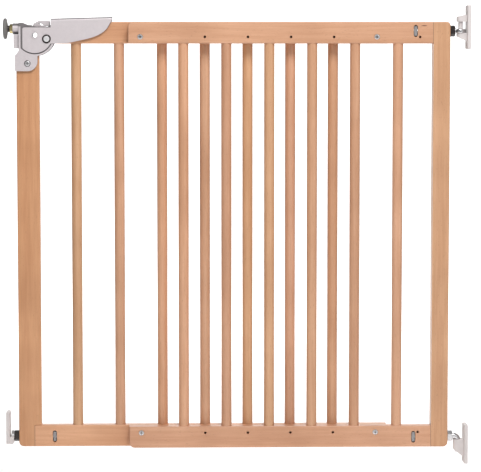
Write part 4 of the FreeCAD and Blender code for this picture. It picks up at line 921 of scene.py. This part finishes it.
def build_sweep(context, floor_z, colour):
    """One seamless sheet: floor, a wide bend behind the gate, and a wall."""
    half, front, back, bend, top = 3.4, -7.0, 5.0, 2.0, 6.0
    profile = [(front, floor_z), (back, floor_z)]
    for step in range(1, 17):
        angle = math.pi / 2 * step / 16
        profile.append((back + bend * math.sin(angle), floor_z + bend - bend * math.cos(angle)))
    profile.append((back + bend, floor_z + top))
    points = [(x, y, z) for y, z in profile for x in (-half, half)]
    faces = [(2 * i, 2 * i + 1, 2 * i + 3, 2 * i + 2) for i in range(len(profile) - 1)]
    mesh = bpy.data.meshes.new("studio_sweep")
    mesh.from_pydata(points, [], faces)
    for face in mesh.polygons:
        face.use_smooth = True
    finish = Finish("studio_paper")
    tooth = finish.noise(finish.place((1, 1, 1)), 400, detail=2)
    glow = finish.mix(tooth * 0.04, colour, (0.9, 0.9, 0.9))
    mesh.materials.append(finish.set(Base_Color=glow, Roughness=0.9, Specular_IOR_Level=0.1,
                                     Emission_Color=colour, Emission_Strength=0.4))
    sweep = bpy.data.objects.new("studio_sweep", mesh)
    context.collection.objects.link(sweep)
    sweep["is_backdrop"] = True


def build_lights(context, target):
    """A high key and a low fill on the gate, lamps on backdrop and floor, and a dim white surround."""
    world = bpy.data.worlds.new("surround")
    world.use_nodes = True
    background = next(node for node in world.node_tree.nodes if node.type == "BACKGROUND")
    background.inputs["Color"].default_value = (1.0, 1.0, 1.0, 1.0)
    background.inputs["Strength"].default_value = SURROUND
    context.scene.world = world
    for name, place, width, watts, lit in LAMPS:
        lamp = bpy.data.lights.new(name, "AREA")
        lamp.shape = "SQUARE"
        lamp.size = width
        lamp.energy = watts
        box = bpy.data.objects.new(name, lamp)
        box.location = Vector(place) + Vector((target.x, 0, target.z * 0.5))
        aim = target if lit is None else Vector((target.x, *lit))
        box.rotation_euler = (aim - box.location).to_track_quat("-Z", "Y").to_euler()
        context.collection.objects.link(box)


def build_camera(context, lens):
    """A long lens a little above the gate's middle, turned slightly to the right and down."""
    camera = bpy.data.cameras.new("camera")
    camera.lens = lens
    camera.sensor_width = 36.0
    camera.clip_start = 0.1
    camera.clip_end = 60.0
    stand = bpy.data.objects.new("camera", camera)
    stand.location = CAMERA_PLACE
    level = math.cos(CAMERA_DIP)
    ahead = Vector((math.sin(CAMERA_TURN) * level, math.cos(CAMERA_TURN) * level, -math.sin(CAMERA_DIP)))
    stand.rotation_euler = ahead.to_track_quat("-Z", "Y").to_euler()
    context.collection.objects.link(stand)
    context.scene.camera = stand
    context.scene.view_settings.view_transform = "Standard"


# ---------------------------------------------------------------- panel, registration and run


OPERATORS = (GATE_OT_timber, GATE_OT_sheet_steel, GATE_OT_plastic, GATE_OT_wall_pad, GATE_OT_screws,
             GATE_OT_nuts, GATE_OT_spindle, GATE_OT_stage)
GROUPS = {
    "gate_timber": TimberSettings,
    "gate_metal": MetalSettings,
    "gate_plastic": PlasticSettings,
    "gate_screws": ScrewSettings,
    "gate_thread": ThreadSettings,
    "gate_stage": StageSettings,
}


class GATE_PT_panel(bpy.types.Panel):
    """Every step of the gate, with its sizes and colours"""

    bl_idname = "GATE_PT_panel"
    bl_label = "Safety gate"
    bl_space_type = "VIEW_3D"
    bl_region_type = "UI"
    bl_category = "Gate"

    def draw(self, context):
        for name, group in GROUPS.items():
            settings = getattr(context.scene, name)
            for key in group.__annotations__:
                self.layout.prop(settings, key)
        for operator in OPERATORS:
            self.layout.operator(operator.bl_idname)


def register():
    for group in GROUPS.values():
        bpy.utils.register_class(group)
    for name, group in GROUPS.items():
        setattr(bpy.types.Scene, name, bpy.props.PointerProperty(type=group))
    for item in (*OPERATORS, GATE_PT_panel):
        bpy.utils.register_class(item)


def unregister():
    for item in reversed((*OPERATORS, GATE_PT_panel)):
        bpy.utils.unregister_class(item)
    for name, group in GROUPS.items():
        delattr(bpy.types.Scene, name)
        bpy.utils.unregister_class(group)


def main():
    register()
    for operator in OPERATORS:
        family, step = operator.bl_idname.split(".")
        getattr(getattr(bpy.ops, family), step)()


if __name__ == "__main__":
    main()
